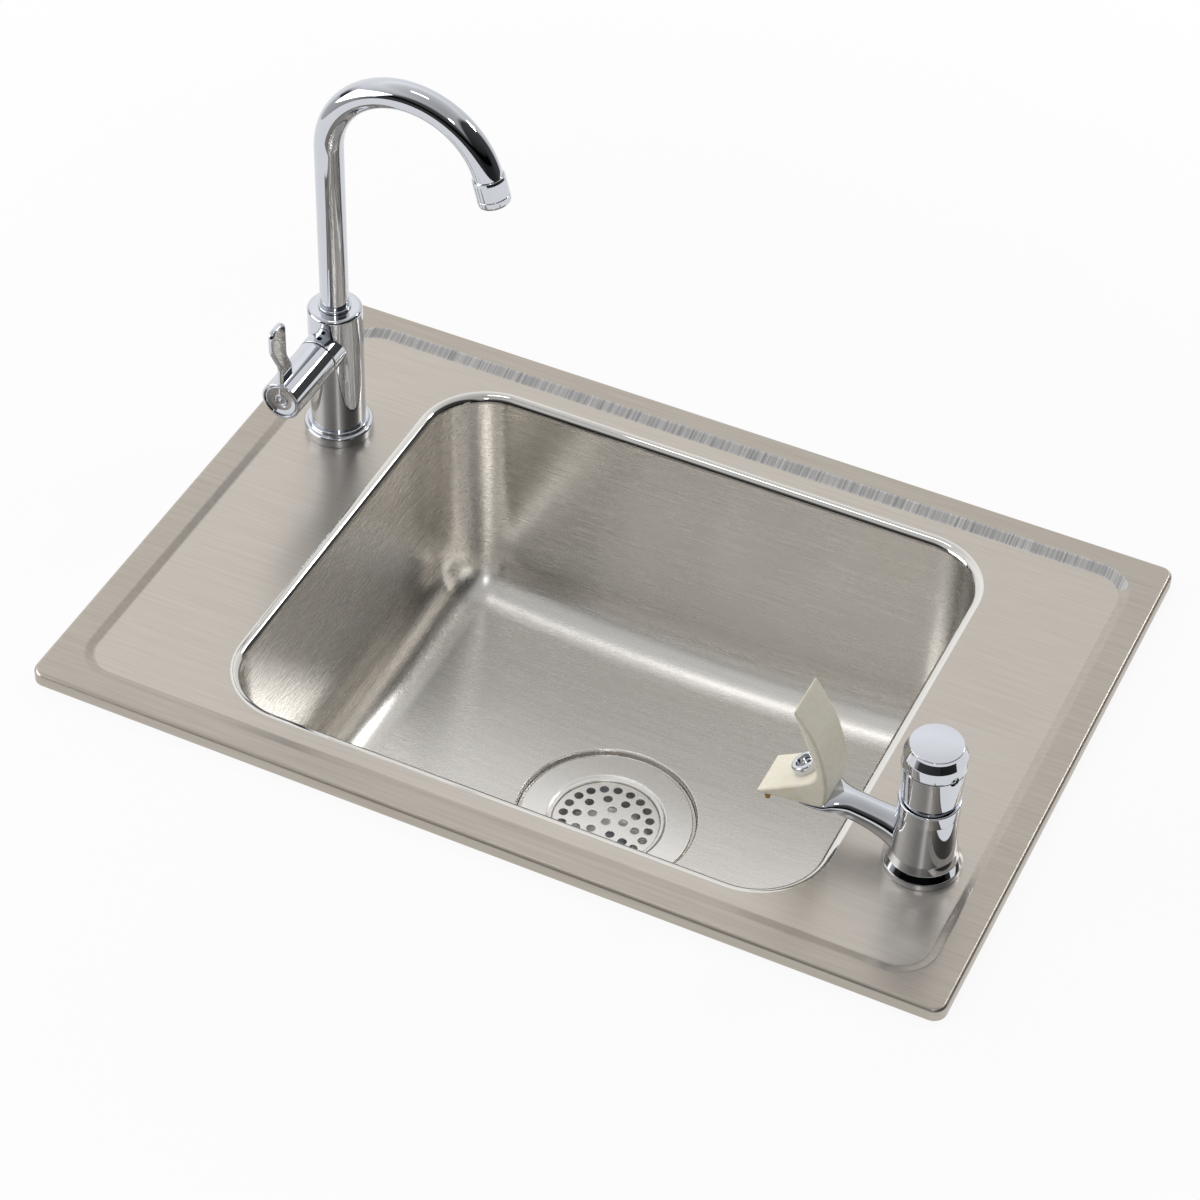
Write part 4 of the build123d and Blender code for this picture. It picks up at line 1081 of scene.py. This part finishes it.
# Studio: white to the camera, a soft dome with a darker band low down for the metal to show. Each sky
# is a list of heights (0 is level, 1 is overhead) and grey levels.
FRONT_SKY = [
    (0.0, 0.5), (0.03, 0.4), (0.06, 0.02), (0.2, 0.03), (0.28, 0.5), (0.45, 0.84), (0.69, 0.98), (0.85, 0.8),
    (1.0, 0.72),
]
BACK_SKY = [(0.0, 0.8), (0.45, 0.84), (0.69, 0.98), (0.85, 0.8), (1.0, 0.72)]
world = bpy.data.worlds.new("studio")
bpy.context.scene.world = world
world.use_nodes = True
w = world.node_tree
w.nodes.clear()
aim = add(w, "ShaderNodeTexCoord")
xyz = add(w, "ShaderNodeSeparateXYZ", Vector=(aim, "Generated"))
front_sky = add(w, "ShaderNodeValToRGB", Fac=(xyz, "Z"), stops=FRONT_SKY)
back_sky = add(w, "ShaderNodeValToRGB", Fac=(xyz, "Z"), stops=BACK_SKY)
behind = add(w, "ShaderNodeMapRange", Value=(xyz, "Y"), From_Min=0.0, From_Max=0.3)
sky = add(w, "ShaderNodeMix", Factor=(behind, 0), I2=(front_sky, 0), I3=(back_sky, 0))
# Brighter to the back and to the left
back_light = add(w, "ShaderNodeMapRange", Value=(xyz, "Y"), From_Min=-0.7, From_Max=0.7,
                 To_Min=0.60, To_Max=1.10)
side_light = add(w, "ShaderNodeMath", operation="MULTIPLY_ADD", I0=(xyz, "X"), I1=-0.3, I2=(back_light, 0))
# Dark flags far to the right and far to the front, which give the steel and the chrome their dark sides
right_flag = add(w, "ShaderNodeMapRange", Value=(xyz, "X"), From_Min=0.53, From_Max=0.62,
                 To_Min=1.0, To_Max=0.1)
front_flag = add(w, "ShaderNodeMapRange", Value=(xyz, "Y"), From_Min=-0.84, From_Max=-0.74, To_Min=0.15)
flags = add(w, "ShaderNodeMath", operation="MULTIPLY", I0=(right_flag, 0), I1=(front_flag, 0))
toward = add(w, "ShaderNodeMath", operation="MULTIPLY", I0=(side_light, 0), I1=(flags, 0))
rays = add(w, "ShaderNodeLightPath")
dome = add(w, "ShaderNodeBackground", Color=(sky, 0), Strength=(toward, 0))
plain = add(w, "ShaderNodeBackground", Color=(1, 1, 1, 1), Strength=1.0)
mix = add(w, "ShaderNodeMixShader", I0=(rays, "Is Camera Ray"), I1=(dome, 0), I2=(plain, 0))
add(w, "ShaderNodeOutputWorld", Surface=(mix, 0))


def softbox(name, place, size, watts):
    """A rectangular lamp that looks at the sink's centre; metres and watts."""
    light = bpy.data.lights.new(name, "AREA")
    light.shape = "RECTANGLE"
    light.size, light.size_y = size
    light.energy = watts
    ob = bpy.data.objects.new(name, light)
    bpy.context.scene.collection.objects.link(ob)
    ob.location = place
    ob.rotation_euler = (-Vector(place)).to_track_quat("-Z", "Y").to_euler()


softbox("overhead", (-0.34, 0.0, 1.5), (0.15, 0.4), 0.8)
softbox("back_right", (0.9, 1.3, 1.2), (0.3, 0.3), 4)
softbox("left_key", (-1.35, -0.75, 0.5), (1.2, 0.7), 8)
softbox("camera_side", (0.8, -1.8, 1.95), (0.25, 0.25), 2.5)

# Camera at the photograph's viewing angle, fitted to the four rim edges
FOCAL_PX, FRAME_PX, SENSOR = 3399.436, 1200, 36
AZIMUTH, ELEVATION, ROLL = 24.152, 43.775, 1.984
DISTANCE, AIM = 2.261154, (-0.016455, 0.012096, 0.0095)
cam = bpy.data.cameras.new("camera")
cam.sensor_width = SENSOR
cam.lens = SENSOR * FOCAL_PX / FRAME_PX
cam.clip_end = 50
az, el, roll = radians(AZIMUTH), radians(ELEVATION), radians(ROLL)
back = Vector((sin(az) * cos(el), -cos(az) * cos(el), sin(el)))
right0 = Vector((0, 0, 1)).cross(back).normalized()
up0 = back.cross(right0)
right = cos(roll) * right0 + sin(roll) * up0
up = -sin(roll) * right0 + cos(roll) * up0
place = back * DISTANCE + Vector(AIM)
eye = bpy.data.objects.new("camera", cam)
bpy.context.scene.collection.objects.link(eye)
eye.matrix_world = Matrix.Translation(place) @ Matrix((right, up, back)).transposed().to_4x4()
bpy.context.scene.camera = eye
bpy.context.scene.view_settings.view_transform = "Standard"
